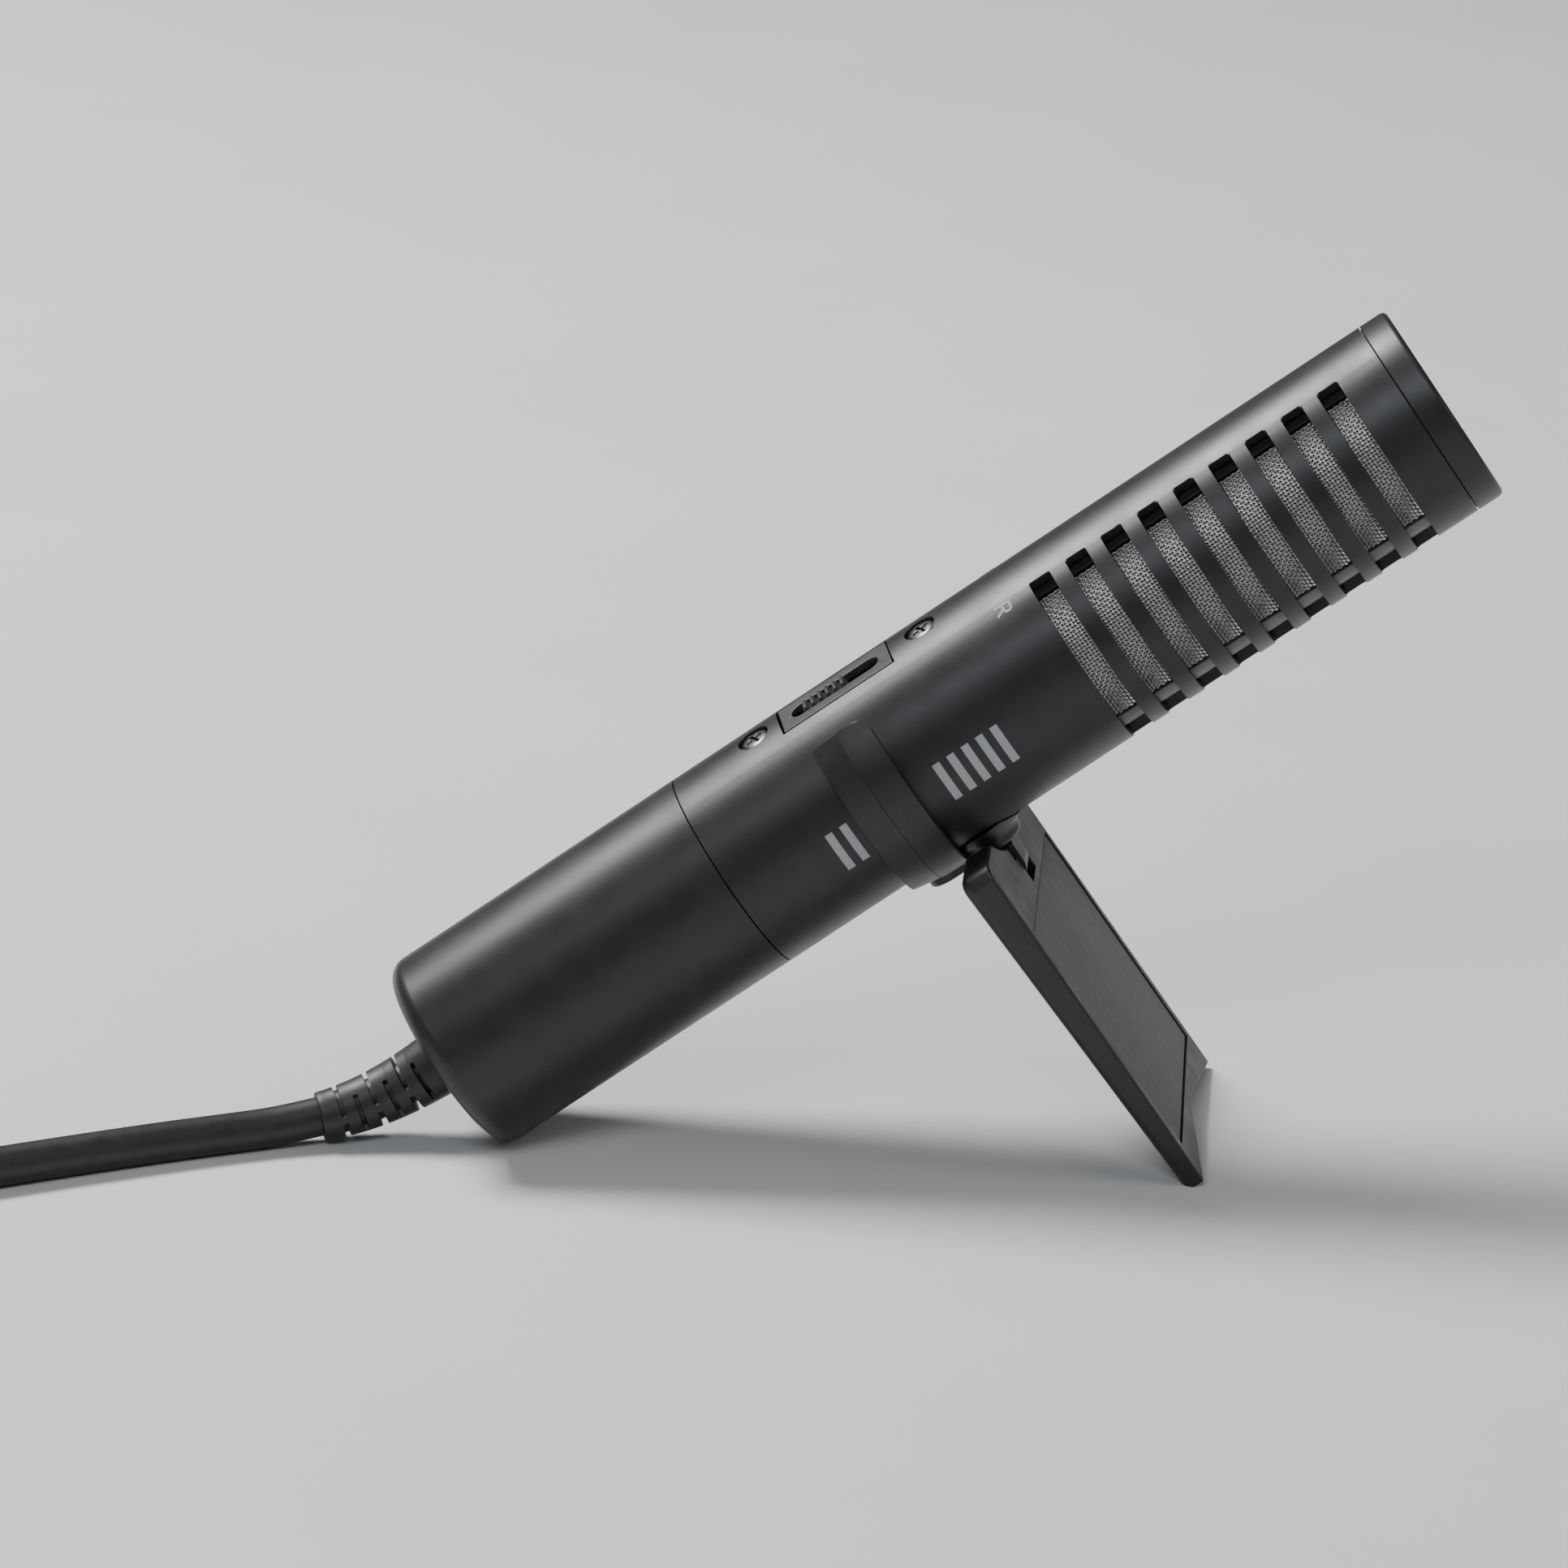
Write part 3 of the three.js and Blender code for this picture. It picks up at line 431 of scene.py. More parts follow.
def new_mesh(name, points, faces, merge=1e-4):
    """A mesh with points closer than that merged and its faces turned outwards."""
    mesh = bpy.data.meshes.new(name)
    mesh.from_pydata([tuple(p) for p in points], [], [tuple(f) for f in faces])
    shape = bmesh.new()
    shape.from_mesh(mesh)
    if merge:
        bmesh.ops.remove_doubles(shape, verts=shape.verts, dist=merge)
    bmesh.ops.recalc_face_normals(shape, faces=shape.faces)
    shape.to_mesh(mesh)
    shape.free()
    return mesh


def strip_faces(rings, count, closed=False):
    """Faces from each ring of corners to the next, with an end face at each end of an open strip."""
    faces = []
    for ring in range(rings if closed else rings - 1):
        first, after = ring * count, (ring + 1) % rings * count
        for i in range(count):
            j = (i + 1) % count
            faces.append((first + i, first + j, after + j, after + i))
    if not closed:
        faces.append(tuple(range(count)))
        faces.append(tuple((rings - 1) * count + i for i in range(count)))
    return faces


def joined(name, meshes):
    """Several meshes as one."""
    shape = bmesh.new()
    for mesh in meshes:
        shape.from_mesh(mesh)
        bpy.data.meshes.remove(mesh)
    whole = bpy.data.meshes.new(name)
    shape.to_mesh(whole)
    shape.free()
    return whole


def apply_modifiers(piece):
    graph = bpy.context.evaluated_depsgraph_get()
    made = bpy.data.meshes.new_from_object(piece.evaluated_get(graph))
    piece.modifiers.clear()
    piece.data = made


def bevel(piece, width, segments, weighted):
    """Rounds a piece's edges, by their angle or by the weights that its mesh gives them."""
    modifier = piece.modifiers.new("edges", "BEVEL")
    modifier.width = width * MM
    modifier.segments = segments
    modifier.limit_method = "WEIGHT" if weighted else "ANGLE"
    modifier.angle_limit = BEVEL_ANGLE
    modifier.use_clamp_overlap = True
    modifier.miter_outer = "MITER_SHARP"


def add_piece(name, mesh, place, body, look, stands_for=(), edge=0.0, segments=2, cutter=None,
              weighted=False):
    """Places a mesh, rounds its edges and lets it ride on a body. Its slot is its look's."""
    mesh.transform(place)
    mesh.materials.clear()
    mesh.materials.append(looks[look])
    piece = placed(name, mesh)
    if edge and weighted:
        bevel(piece, edge, segments, weighted)
    if cutter:
        cut = piece.modifiers.new("cut", "BOOLEAN")
        cut.object = cutter
        cut.solver = "EXACT"
        cut.use_self = True
    if edge and not weighted:
        bevel(piece, edge, segments, weighted)
    apply_modifiers(piece)
    if cutter:
        bpy.data.objects.remove(cutter)
    piece.data.shade_smooth()
    piece.data.set_sharp_from_angle(angle=SMOOTH_ANGLE)
    if edge:
        even = piece.modifiers.new("even_shading", "WEIGHTED_NORMAL")
        even.keep_sharp = True
        apply_modifiers(piece)
    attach(piece, body)
    if stands_for:
        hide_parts(*stands_for)
    return piece


def cutter_of(meshes, place):
    """An object that cuts others."""
    mesh = joined("cutter", meshes)
    mesh.transform(place)
    return placed("cutter", mesh)


def arc(middle, radius, start, end, steps):
    """Points on an arc, angles in degrees."""
    angles = np.radians(np.linspace(start, end, steps + 1))
    return [(middle[0] + radius * math.cos(a), middle[1] + radius * math.sin(a)) for a in angles]


def obround_outline(middle, length, width, steps=14):
    half = (length - width) / 2
    right = arc((middle[0] + half, middle[1]), width / 2, -90, 90, steps)
    left = arc((middle[0] - half, middle[1]), width / 2, 90, 270, steps)
    return right + left


def rectangle(x0, y0, x1, y1):
    return [(x0, y0), (x1, y0), (x1, y1), (x0, y1)]


def upright(u, v, w):
    return (u, v, w)


def along_x(u, v, w):
    return (w, u, v)


def along_y(u, v, w):
    return (u, w, v)


def slab(name, loops, low, high, to_xyz=upright):
    """A closed slab with an outline and holes, between two heights or height functions."""
    def height(limit, u, v):
        return limit(u, v) if callable(limit) else limit

    flat = sum(loops, [])
    count = len(flat)
    points = [to_xyz(u, v, height(low, u, v)) for u, v in flat]
    points += [to_xyz(u, v, height(high, u, v)) for u, v in flat]
    triangles = tessellate_polygon([[Vector((u, v, 0)) for u, v in loop] for loop in loops])
    faces = [tuple(t) for t in triangles] + [tuple(i + count for i in t) for t in triangles]
    first = 0
    for loop in loops:
        for i in range(len(loop)):
            a, b = first + i, first + (i + 1) % len(loop)
            faces.append((a, b, b + count, a + count))
        first += len(loop)
    return new_mesh(name, points, faces)


def lathe(name, profile, sides=128):
    """A closed profile of (x, radius) turned about the X axis; angles run from +Z towards +Y."""
    angles = np.radians(360 * np.arange(sides) / sides)
    points = [(x, r * math.sin(a), r * math.cos(a)) for a in angles for x, r in profile]
    return new_mesh(name, points, strip_faces(sides, len(profile), closed=True))


def turned_upright(name, profile, x, sides=48):
    """A profile of (z, radius) turned about an upright axis at x."""
    mesh = lathe(name, profile, sides)
    mesh.transform(Matrix.Translation((x, 0, 0)) @ Matrix.Rotation(-math.pi / 2, 4, "Y"))
    return mesh


def box_mesh(low, high):
    outline = rectangle(low[0], low[1], high[0], high[1])
    return slab("box", [outline], low[2], high[2])


def on_tube(x, degrees, radius, side=-1):
    """A point at an angle from the switch; side -1 is the right."""
    a = math.radians(degrees)
    return (x, side * radius * math.sin(a), radius * math.cos(a))


# ---- the tube and its slots


def grid_lines(start, end, step, fixed, nearest):
    """Even lines between two values, except where a fixed line is close."""
    even = np.linspace(start, end, max(2, round((end - start) / step)) + 1)
    kept = [v for v in even if all(abs(v - f) > nearest for f in fixed)]
    return sorted(set([round(v, 5) for v in kept] + [round(f, 5) for f in fixed]))


def cut_skin(name, radius, xs, degrees, windows, corner, pockets=()):
    """A tube's outer skin as a grid, without its rounded windows and square pockets.

    Both are (x from, x to, degrees from, degrees to), and degrees run once round from the switch.
    """
    turn = math.degrees(corner / radius)
    points, index = [], {}

    def at(x, d):
        key = (round(x, 4), round(d % 360, 4))
        if key not in index:
            index[key] = len(points)
            points.append(on_tube(x, key[1], radius))
        return index[key]

    def inside(window, x, d):
        return window[0] < x < window[1] and window[2] < d < window[3]

    def cell(x0, x1, d0, d1):
        corners = [(x0, d0), (x1, d0), (x1, d1), (x0, d1)]
        xm, dm = (x0 + x1) / 2, (d0 + d1) / 2
        if any(inside(pocket, xm, dm) for pocket in pockets):
            return None
        for window in windows:
            if not inside(window, xm, dm):
                continue
            wx0, wx1, wd0, wd1 = window
            near_x = wx0 if xm < wx0 + corner else wx1 if xm > wx1 - corner else None
            near_d = wd0 if dm < wd0 + turn else wd1 if dm > wd1 - turn else None
            if near_x is None or near_d is None:
                return None
            far_x = x0 + x1 - near_x
            far_d = d0 + d1 - near_d
            share = 1 - math.sqrt(0.5)
            bend = (near_x + (far_x - near_x) * share, near_d + (far_d - near_d) * share)
            return [bend if c == (far_x, far_d) else c for c in corners]
        return corners

    faces = []
    for x0, x1 in zip(xs, xs[1:]):
        for d0, d1 in zip(degrees, degrees[1:]):
            kept = cell(x0, x1, d0, d1)
            if kept:
                faces.append([at(*c) for c in kept])
    return new_mesh(name, points, faces)


def window_lines(windows, corner, radius):
    turn = math.degrees(corner / radius)
    xs, degrees = set(), set()
    for x0, x1, d0, d1 in windows:
        xs |= {x0, x0 + corner, x1 - corner, x1}
        degrees |= {d0, d0 + turn, d1 - turn, d1}
    return sorted(xs), sorted(degrees)


def both_sides(x0, x1, from_degrees, to_degrees):
    """A window on the right and its mirror image on the left."""
    return [(x0, x1, from_degrees, to_degrees), (x0, x1, 360 - to_degrees, 360 - from_degrees)]


def slot_windows():
    windows = []
    for i in range(SLOT_COUNT):
        x = SLOT_FIRST + i * SLOT_PITCH
        windows += both_sides(x, x + SLOT_WIDTH, SLOT_FROM, SLOT_TO)
    return windows


def add_barrel():
    half = math.degrees(math.asin((PLATE_WIDTH / 2 + POCKET_MARGIN) / TUBE_R))
    reach = PLATE_LENGTH / 2 + POCKET_MARGIN
    pocket = both_sides(PLATE_X - reach, PLATE_X + reach, 0, half)
    profile = [(RECESS_FLOOR, 0), (RECESS_FLOOR, RECESS_R), (TUBE_R + 2, RECESS_R), (TUBE_R + 2, 0)]
    cutter = cutter_of([turned_upright("recess", profile, x) for x in SCREW_X], TUBE)
    windows = slot_windows()
    fixed_x, fixed_degrees = window_lines(windows, SLOT_CORNER_R, TUBE_R)
    pocket_x = [pocket[0][0], pocket[0][1]]
    ends = [BARREL_START - SEAM_CLOSE, BARREL_END + SEAM_CLOSE]
    xs = grid_lines(*ends, SPAN_STEP, [*ends, *fixed_x, *pocket_x], NEAR_X)
    fixed_degrees = [0, 360, half, 360 - half, *fixed_degrees]
    degrees = grid_lines(0, 360, SPAN_STEP, fixed_degrees, NEAR_DEGREES)
    mesh = cut_skin("barrel_skin", TUBE_R, xs, degrees, windows, SLOT_CORNER_R, pocket)
    solid = thickened(mesh, WALL)
    add_piece("barrel_shell", solid, TUBE, "microphone", "anodised_black", ["barrel"], 0.13, 2, cutter)


def thickened(mesh, wall):
    """A skin given a wall on its inner side."""
    skin = placed("skin", mesh)
    modifier = skin.modifiers.new("wall", "SOLIDIFY")
    modifier.thickness = wall
    modifier.offset = -1
    modifier.use_even_offset = True
    apply_modifiers(skin)
    solid = skin.data
    bpy.data.objects.remove(skin)
    return solid


def add_inner_frame():
    windows = both_sides(WINDOW_START, WINDOW_END, MESH_FROM, MESH_TO)
    fixed_x, fixed_degrees = window_lines(windows, SLOT_CORNER_R, FRAME_R)
    span = [WINDOW_START - 2.5, WINDOW_END + 2.5]
    xs = grid_lines(*span, 2 * SPAN_STEP, [*span, *fixed_x], NEAR_X)
    degrees = grid_lines(0, 360, SPAN_STEP, [0, 360, *fixed_degrees], NEAR_DEGREES)
    mesh = cut_skin("frame_skin", FRAME_R, xs, degrees, windows, SLOT_CORNER_R)
    add_piece("mesh_frame", thickened(mesh, FRAME_WALL), TUBE, "microphone", "black_plastic",
              ["inner_frame"], 0.1)


def wire(path, out, radius):
    """Four-sided rings along one wire, for a path and its outward directions."""
    ahead = np.gradient(path, axis=0)
    ahead /= np.linalg.norm(ahead, axis=1)[:, None]
    side = np.cross(ahead, out)
    side /= np.linalg.norm(side, axis=1)[:, None]
    top = np.cross(side, ahead)
    ring = [side, top, -side, -top]
    return np.stack([path + radius * r for r in ring], axis=1).reshape(-1, 3)


def wires_mesh(name, wires):
    """One mesh of many wires, each an array of rings of four."""
    points, faces = [], []
    first = 0
    for rings in wires:
        count = len(rings) // 4
        points.append(rings)
        base = first + 4 * np.arange(count - 1)[:, None]
        start, after = base + np.arange(4), base + (np.arange(4) + 1) % 4
        faces.append(np.stack([start, start + 4, after + 4, after], axis=2).reshape(-1, 4))
        last = first + 4 * (count - 1)
        faces.append(np.array([[first, first + 1, first + 2, first + 3]]))
        faces.append(np.array([[last + 3, last + 2, last + 1, last]]))
        first += len(rings)
    mesh = bpy.data.meshes.new(name)
    mesh.from_pydata(np.concatenate(points).tolist(), [], np.concatenate(faces).tolist())
    return mesh


def wave(count, flip):
    """How far a wire weaves out and in, twice a crossing."""
    steps = np.arange(2 * count - 1) / 2
    return WIRE_R * np.cos(math.pi * (steps + flip))


def side_weave(side):
    """Plain-woven wire on the tube's side, in a window of the frame."""
    margin = 0.4
    x0, x1 = WINDOW_START + margin, WINDOW_END - margin
    turn = math.degrees(margin / MESH_R)
    d0, d1 = math.radians(MESH_FROM + turn), math.radians(MESH_TO - turn)
    columns = round((x1 - x0) / WIRE_PITCH) + 1
    rows = round((d1 - d0) * MESH_R / WIRE_PITCH) + 1
    wires = []
    for j in range(rows):
        angle = d0 + (d1 - d0) * j / (rows - 1)
        out = np.array([0, side * math.sin(angle), math.cos(angle)])
        radius = MESH_R + wave(columns, j)
        path = radius[:, None] * out + np.linspace(x0, x1, len(radius))[:, None] * np.array([1, 0, 0])
        wires.append(wire(path, np.tile(out, (len(path), 1)), WIRE_R))
    for i in range(columns):
        radius = MESH_R - wave(rows, i)
        angles = np.linspace(d0, d1, len(radius))
        out = np.stack([0 * angles, side * np.sin(angles), np.cos(angles)], axis=1)
        path = radius[:, None] * out
        path[:, 0] = x0 + (x1 - x0) * i / (columns - 1)
        wires.append(wire(path, out, WIRE_R))
    return wires_mesh("side_weave", wires)


def disc_weave(x, disc_radius):
    """Plain-woven wire across the mouth."""
    half = int(disc_radius / WIRE_PITCH)
    wires = []
    for turned in (False, True):
        for j in range(-half, half + 1):
            across = j * WIRE_PITCH
            reach = int(math.sqrt(max(0.0, disc_radius ** 2 - across ** 2)) / WIRE_PITCH)
            if reach < 2:
                continue
            steps = np.arange(-2 * reach, 2 * reach + 1) / 2
            lift = WIRE_R * np.cos(math.pi * (steps + j)) * (-1 if turned else 1)
            along = steps * WIRE_PITCH
            flat = (np.full_like(along, across), along) if turned else (along, np.full_like(along, across))
            path = np.stack([x + lift, flat[0], flat[1]], axis=1)
            out = np.tile(np.array([1.0, 0, 0]), (len(path), 1))
            wires.append(wire(path, out, WIRE_R))
    return wires_mesh("disc_weave", wires)


def add_meshes():
    for name, side in SIDES:
        add_piece("weave_" + name, side_weave(side), TUBE, "microphone", "woven_wire", ["mesh_" + name])
    disc = disc_weave(CAP_START + 1.5, MOUTH_R)
    add_piece("weave_front", disc, TUBE, "microphone", "woven_wire", ["front_mesh"])


def add_cap():
    spigot = 2.0
    profile = [
        (CAP_START - spigot, 12.9),
        (CAP_START + 0.6, 12.9),
        (CAP_START + 0.9, 13.6),
        (CAP_END - 0.9, 13.9),
        (CAP_END, 14.6),
        (CAP_END, TUBE_R - 0.7),
        (CAP_END - 0.25, TUBE_R - 0.2),
        (CAP_END - 0.8, TUBE_R),
        (CAP_START - SEAM_CLOSE, TUBE_R),
        (CAP_START - SEAM_CLOSE, SEAM_R),
        (BARREL_END + SEAM_CLOSE + SEAM_GAP, SEAM_R),
        (BARREL_END + SEAM_CLOSE + SEAM_GAP, FRAME_R),
        (CAP_START - spigot, FRAME_R),
    ]
    ring = lathe("cap", profile, 160)
    add_piece("front_cap_ring", ring, TUBE, "microphone", "anodised_black", ["front_cap"], 0.12)


def add_sleeve():
    rear_hole = RELIEF_R + 0.6
    corner = arc((REAR_EDGE_R, TUBE_R - REAR_EDGE_R), REAR_EDGE_R, 90, 180, 12)
    profile = [
        (0, rear_hole),
        (2, rear_hole),
        (2, TUBE_R - WALL),
        (SLEEVE_END + SEAM_CLOSE, TUBE_R - WALL),
        (SLEEVE_END + SEAM_CLOSE, TUBE_R),
        *corner,
    ]
    shell = lathe("sleeve", profile, 160)
    add_piece("sleeve_shell", shell, TUBE, "sleeve", "anodised_black", ["battery_sleeve"], 0.13)
    front = BARREL_START - SEAM_CLOSE - SEAM_GAP
    behind = SLEEVE_END + SEAM_CLOSE + SEAM_GAP
    seam = [
        (SLEEVE_END - 2, SPIGOT_R),
        (BARREL_START + 1, SPIGOT_R),
        (BARREL_START + 1, FRAME_R),
        (front, FRAME_R),
        (front, SEAM_R),
        (behind, SEAM_R),
        (behind, FRAME_R),
        (SLEEVE_END - 2, FRAME_R),
    ]
    add_piece("spigot_ring", lathe("spigot", seam, 96), TUBE, "microphone", "anodised_black", [], 0.1)


# ---- switch, screws and print


def add_switch():
    reach, half = PLATE_LENGTH / 2, PLATE_WIDTH / 2
    outline = rectangle(PLATE_X - reach, -half, PLATE_X + reach, half)
    hole = obround_outline((PLATE_X, 0), SWITCH_SLOT_LENGTH, SWITCH_SLOT_WIDTH)
    plate = slab("plate", [outline, hole], PLATE_TOP - PLATE_THICK, PLATE_TOP)
    add_piece("switch_bezel", plate, TUBE, "microphone", "switch_plastic", ["switch_plate"], 0.14)
    tray_outline = obround_outline((PLATE_X, 0), SWITCH_SLOT_LENGTH + 1, SWITCH_SLOT_WIDTH + 1)
    tray = slab("tray", [tray_outline], WELL_TOP - WELL_THICK, WELL_TOP)
    add_piece("switch_well", tray, TUBE, "microphone", "black_plastic", edge=0.05)
    add_knob()


def add_knob():
    """A pad with a row of ridges across it."""
    pitch = KNOB_LENGTH / KNOB_RIBS
    rear_end = KNOB_X - KNOB_LENGTH / 2
    valley, crest = PLATE_TOP - KNOB_RIB, PLATE_TOP + KNOB_RIB
    outline = [(rear_end, PLATE_TOP - KNOB_DEEP)]
    for i in range(KNOB_RIBS):
        start = rear_end + i * pitch
        outline.append((start, valley))
        outline.append((start + 0.38 * pitch, crest))
        outline.append((start + 0.62 * pitch, crest))
    outline.append((rear_end + KNOB_LENGTH, valley))
    outline.append((rear_end + KNOB_LENGTH, PLATE_TOP - KNOB_DEEP))
    half = KNOB_WIDTH / 2
    ridges = slab("knob", [outline], -half, half, along_y)
    add_piece("slide_knob", ridges, TUBE, "knob", "switch_plastic", ["switch_knob"], 0.12)


def add_screws():
    for node, x in zip(("screw_rear", "screw_front"), SCREW_X):
        under = SCREW_TOP - 0.7
        profile = [
            (SCREW_FOOT, 0),
            (SCREW_FOOT, SCREW_SHANK_R),
            (under, SCREW_SHANK_R),
            (under, SCREW_HEAD_R),
            (SCREW_TOP - 0.28, SCREW_HEAD_R),
            (SCREW_TOP - 0.06, SCREW_HEAD_R - 0.5),
            (SCREW_TOP, SCREW_HEAD_R - 1.2),
            (SCREW_TOP, 0),
        ]
        head = turned_upright(node + "_head", profile, x)
        floor, top = SCREW_TOP - CROSS_DEEP, SCREW_TOP + 1
        cross = []
        for wide, narrow in ((CROSS_LONG, CROSS_NARROW), (CROSS_NARROW, CROSS_LONG)):
            cross.append(box_mesh((x - wide, -narrow, floor), (x + wide, narrow, top)))
        turned = Matrix.Translation((x, 0, 0)) @ Matrix.Rotation(math.radians(SCREW_TURN), 4, "Z")
        turn = turned @ Matrix.Translation((-x, 0, 0))
        cutter = cutter_of(cross, TUBE @ turn)
        add_piece(node + "_cross_head", head, TUBE, "microphone", "screw_steel", [node], 0.05, 2, cutter)


def curved_bar(x, side):
    """A thin printed bar on the tube."""
    steps = 8
    low, high = TUBE_R - BAR_LIFT, TUBE_R + BAR_LIFT
    ring = [(x, low), (x + BAR_WIDTH, low), (x + BAR_WIDTH, high), (x, high)]
    points = []
    for degrees in np.linspace(BAR_FROM, BAR_TO, steps + 1):
        points += [on_tube(along, degrees, radius, side) for along, radius in ring]
    return new_mesh("bar", points, strip_faces(steps + 1, 4))


LETTER_R = [
    [(0, 0), (0.17, 0), (0.17, 0.40), (0.36, 0.40), (0.56, 0), (0.76, 0), (0.53, 0.43)]
    + arc((0.43, 0.70), 0.30, -62, 90, 10)
    + [(0, 1)],
    [(0.17, 0.55), (0.17, 0.85)] + arc((0.42, 0.70), 0.15, 90, -90, 8),
]
LETTER_L = [[(0, 0), (0.62, 0), (0.62, 0.16), (0.17, 0.16), (0.17, 1), (0, 1)]]


def add_letter(name, loops, side):
    """A small channel mark whose top points to the sound end."""

    def place(u, v, w):
        turn = MARK_TURN + math.degrees(u * MARK_HEIGHT / TUBE_R)
        return on_tube(MARK_X + v * MARK_HEIGHT, turn, TUBE_R + w, side)

    mesh = slab(name, loops, -PRINT_LIFT, PRINT_LIFT, place)
    add_piece(name, mesh, TUBE, "microphone", "print_grey")


def add_print():
    """Plain bars on both sides of the clip and on both sides of the tube."""
    add_letter("mark_right", LETTER_R, -1)
    add_letter("mark_left", LETTER_L, 1)
    for name, side in SIDES:
        bars = []
        for start, count in BAR_GROUPS:
            bars += [curved_bar(start + i * BAR_PITCH, side) for i in range(count)]
        add_piece("print_bars_" + name, joined("bars", bars), TUBE, "microphone", "print_grey")


# ---- clip, swivel and leg


def ring_front(profile, along_end):
    """Rounds the ring's front corner near one of its ends."""
    if along_end >= RING_CORNER_R:
        return profile
    back = RING_CORNER_R - math.sqrt(RING_CORNER_R ** 2 - (RING_CORNER_R - along_end) ** 2)
    return [(min(x, RING_END - back), r) for x, r in profile]


def clip_band_mesh():
    """The open ring with its two bands, whose ends have a rounded front corner."""
    profile = [
        (RING_START, RING_BORE_R),
        (RING_START + 5, RING_BORE_R),
        (RING_END - 3, RING_BORE_R + 0.3),
        (RING_END, RING_BORE_R + 0.5),
        (RING_END, RING_R),
        (RING_END - 3, RING_R - 0.03),
        (RING_LINE + 0.12, RING_R - 0.12),
        (RING_LINE + 0.12, RING_R - 0.32),
        (RING_LINE - 0.12, RING_R - 0.32),
        (RING_LINE - 0.12, RING_R - 0.22),
        (RING_START, RING_R - 0.9),
    ]
    steps = 150
    end_marks = [0, 0.04, 0.15, 0.35, 0.65, 1.05, 1.55, 2.2]
    turns = [math.degrees(mark / RING_R) for mark in end_marks]
    middle = np.linspace(RING_OPENING + 8, 352 - RING_OPENING, steps)
    angles = [RING_OPENING + t for t in turns] + list(middle)
    angles += [360 - RING_OPENING - t for t in reversed(turns)]
    points = []
    for degrees in angles:
        near = min(degrees - RING_OPENING, 360 - RING_OPENING - degrees)
        a = math.radians(degrees)
        for x, r in ring_front(profile, math.radians(near) * RING_R):
            points.append((x, r * math.sin(a), r * math.cos(a)))
    return new_mesh("band", points, strip_faces(len(angles), len(profile)))


def tube_space():
    """Cuts away what would reach into the tube."""
    return cutter_of([lathe("space", [(-20, 0), (20, 0), (20, CLEAR_R), (-20, CLEAR_R)], 120)], CLIP)


def add_clip():
    add_piece("clip_band", clip_band_mesh(), CLIP, "clip", "black_plastic", ["clip_ring"], 0.16, 3)
    low = -BOSS_DROP
    boss_profile = [
        (low, 0),
        (low, BOSS_R - 0.9),
        (low + 0.08, BOSS_R - 0.5),
        (low + 0.3, BOSS_R - 0.2),
        (low + 0.7, BOSS_R),
        (low + 1.3, BOSS_R + 0.08),
        (low + 1.9, BOSS_R + 0.35),
        (low + 2.4, BOSS_R + 0.9),
        (low + 2.8, BOSS_R + 1.7),
        (low + 4.2, BOSS_R + 2.6),
        (low + 4.2, 0),
    ]
    boss = turned_upright("boss", boss_profile, 0)
    add_piece("clip_boss", boss, CLIP, "clip", "black_plastic", cutter=tube_space())
    rear_x = RING_START + 2 + BRIDGE_HALF
    outline = arc((rear_x, 0), BRIDGE_HALF, 90, 270, 20) + [(0, -BRIDGE_HALF), (0, BRIDGE_HALF)]
    bridge = slab("bridge", [outline], low + 0.02, -BRIDGE_TOP)
    add_piece("clip_bridge", bridge, CLIP, "clip", "black_plastic", [], 0.7, 4, tube_space())


def add_swivel():
    top = -BOSS_DROP - 0.3
    outline = [(HEAD_R, top), (-HEAD_R, top)] + arc((0, -HINGE_DROP), HEAD_R, 180, 360, 24)
    head = slab("head", [outline], -HEAD_R, HEAD_R, along_y)
    add_piece("swivel_knuckle", head, SWIVEL, "swivel", "black_plastic", ["swivel_head"], 0.5, 4)


def leg_length():
    """From the hinge to the foot, along the leg, millimetres."""
    height = joints["leg_fold"]["pos_m"][2] / MM
    return height / lean_z.normalized().z


def leg_face(length, side, shift=0.0):
    """How far forward one of the leg's sloping faces, moved forward by that shift, is at each height."""
    def at(z):
        share = (LEG_TOP - z) / (LEG_TOP + length)
        thickness = LEG_THICK_TOP + (LEG_THICK_FOOT - LEG_THICK_TOP) * share
        return side * thickness / 2 + shift

    return at


def leg_outline(length):
    """The leg seen from the front, as (y, z) points."""
    meet = math.sqrt(CRADLE_R ** 2 - (HINGE_DROP - LEG_TOP) ** 2)
    start = math.degrees(math.atan2(LEG_TOP - HINGE_DROP, meet))
    ear = LEG_EAR_R
    right = arc((LEG_HALF_TOP - ear, LEG_TOP - ear), ear, 0, 90, 8)
    cradle = arc((0, HINGE_DROP), CRADLE_R, start, -180 - start, 24)
    left = [(-y, z) for y, z in reversed(right)]
    foot = [(-LEG_HALF_FOOT, -length), (0, -length + NOTCH_DEPTH), (LEG_HALF_FOOT, -length)]
    return foot + right + cradle + left


def recess_outline(length, inset):
    half, top, foot = PANEL_HALF - inset, -PANEL_TOP - inset, -length + PANEL_FOOT + inset
    return [(-half, foot), (half, foot), (half, top), (-half, top)]


def leg_wedge(outline, face_from, face_to):
    """A closed slab between two sloping faces, whose ends stay whole faces."""
    count = len(outline)
    points = [(face_from(z), y, z) for y, z in outline] + [(face_to(z), y, z) for y, z in outline]
    faces = [tuple(range(count)), tuple(range(count, 2 * count))]
    for i in range(count):
        j = (i + 1) % count
        faces.append((i, j, j + count, i + count))
    return new_mesh("wedge", points, faces)


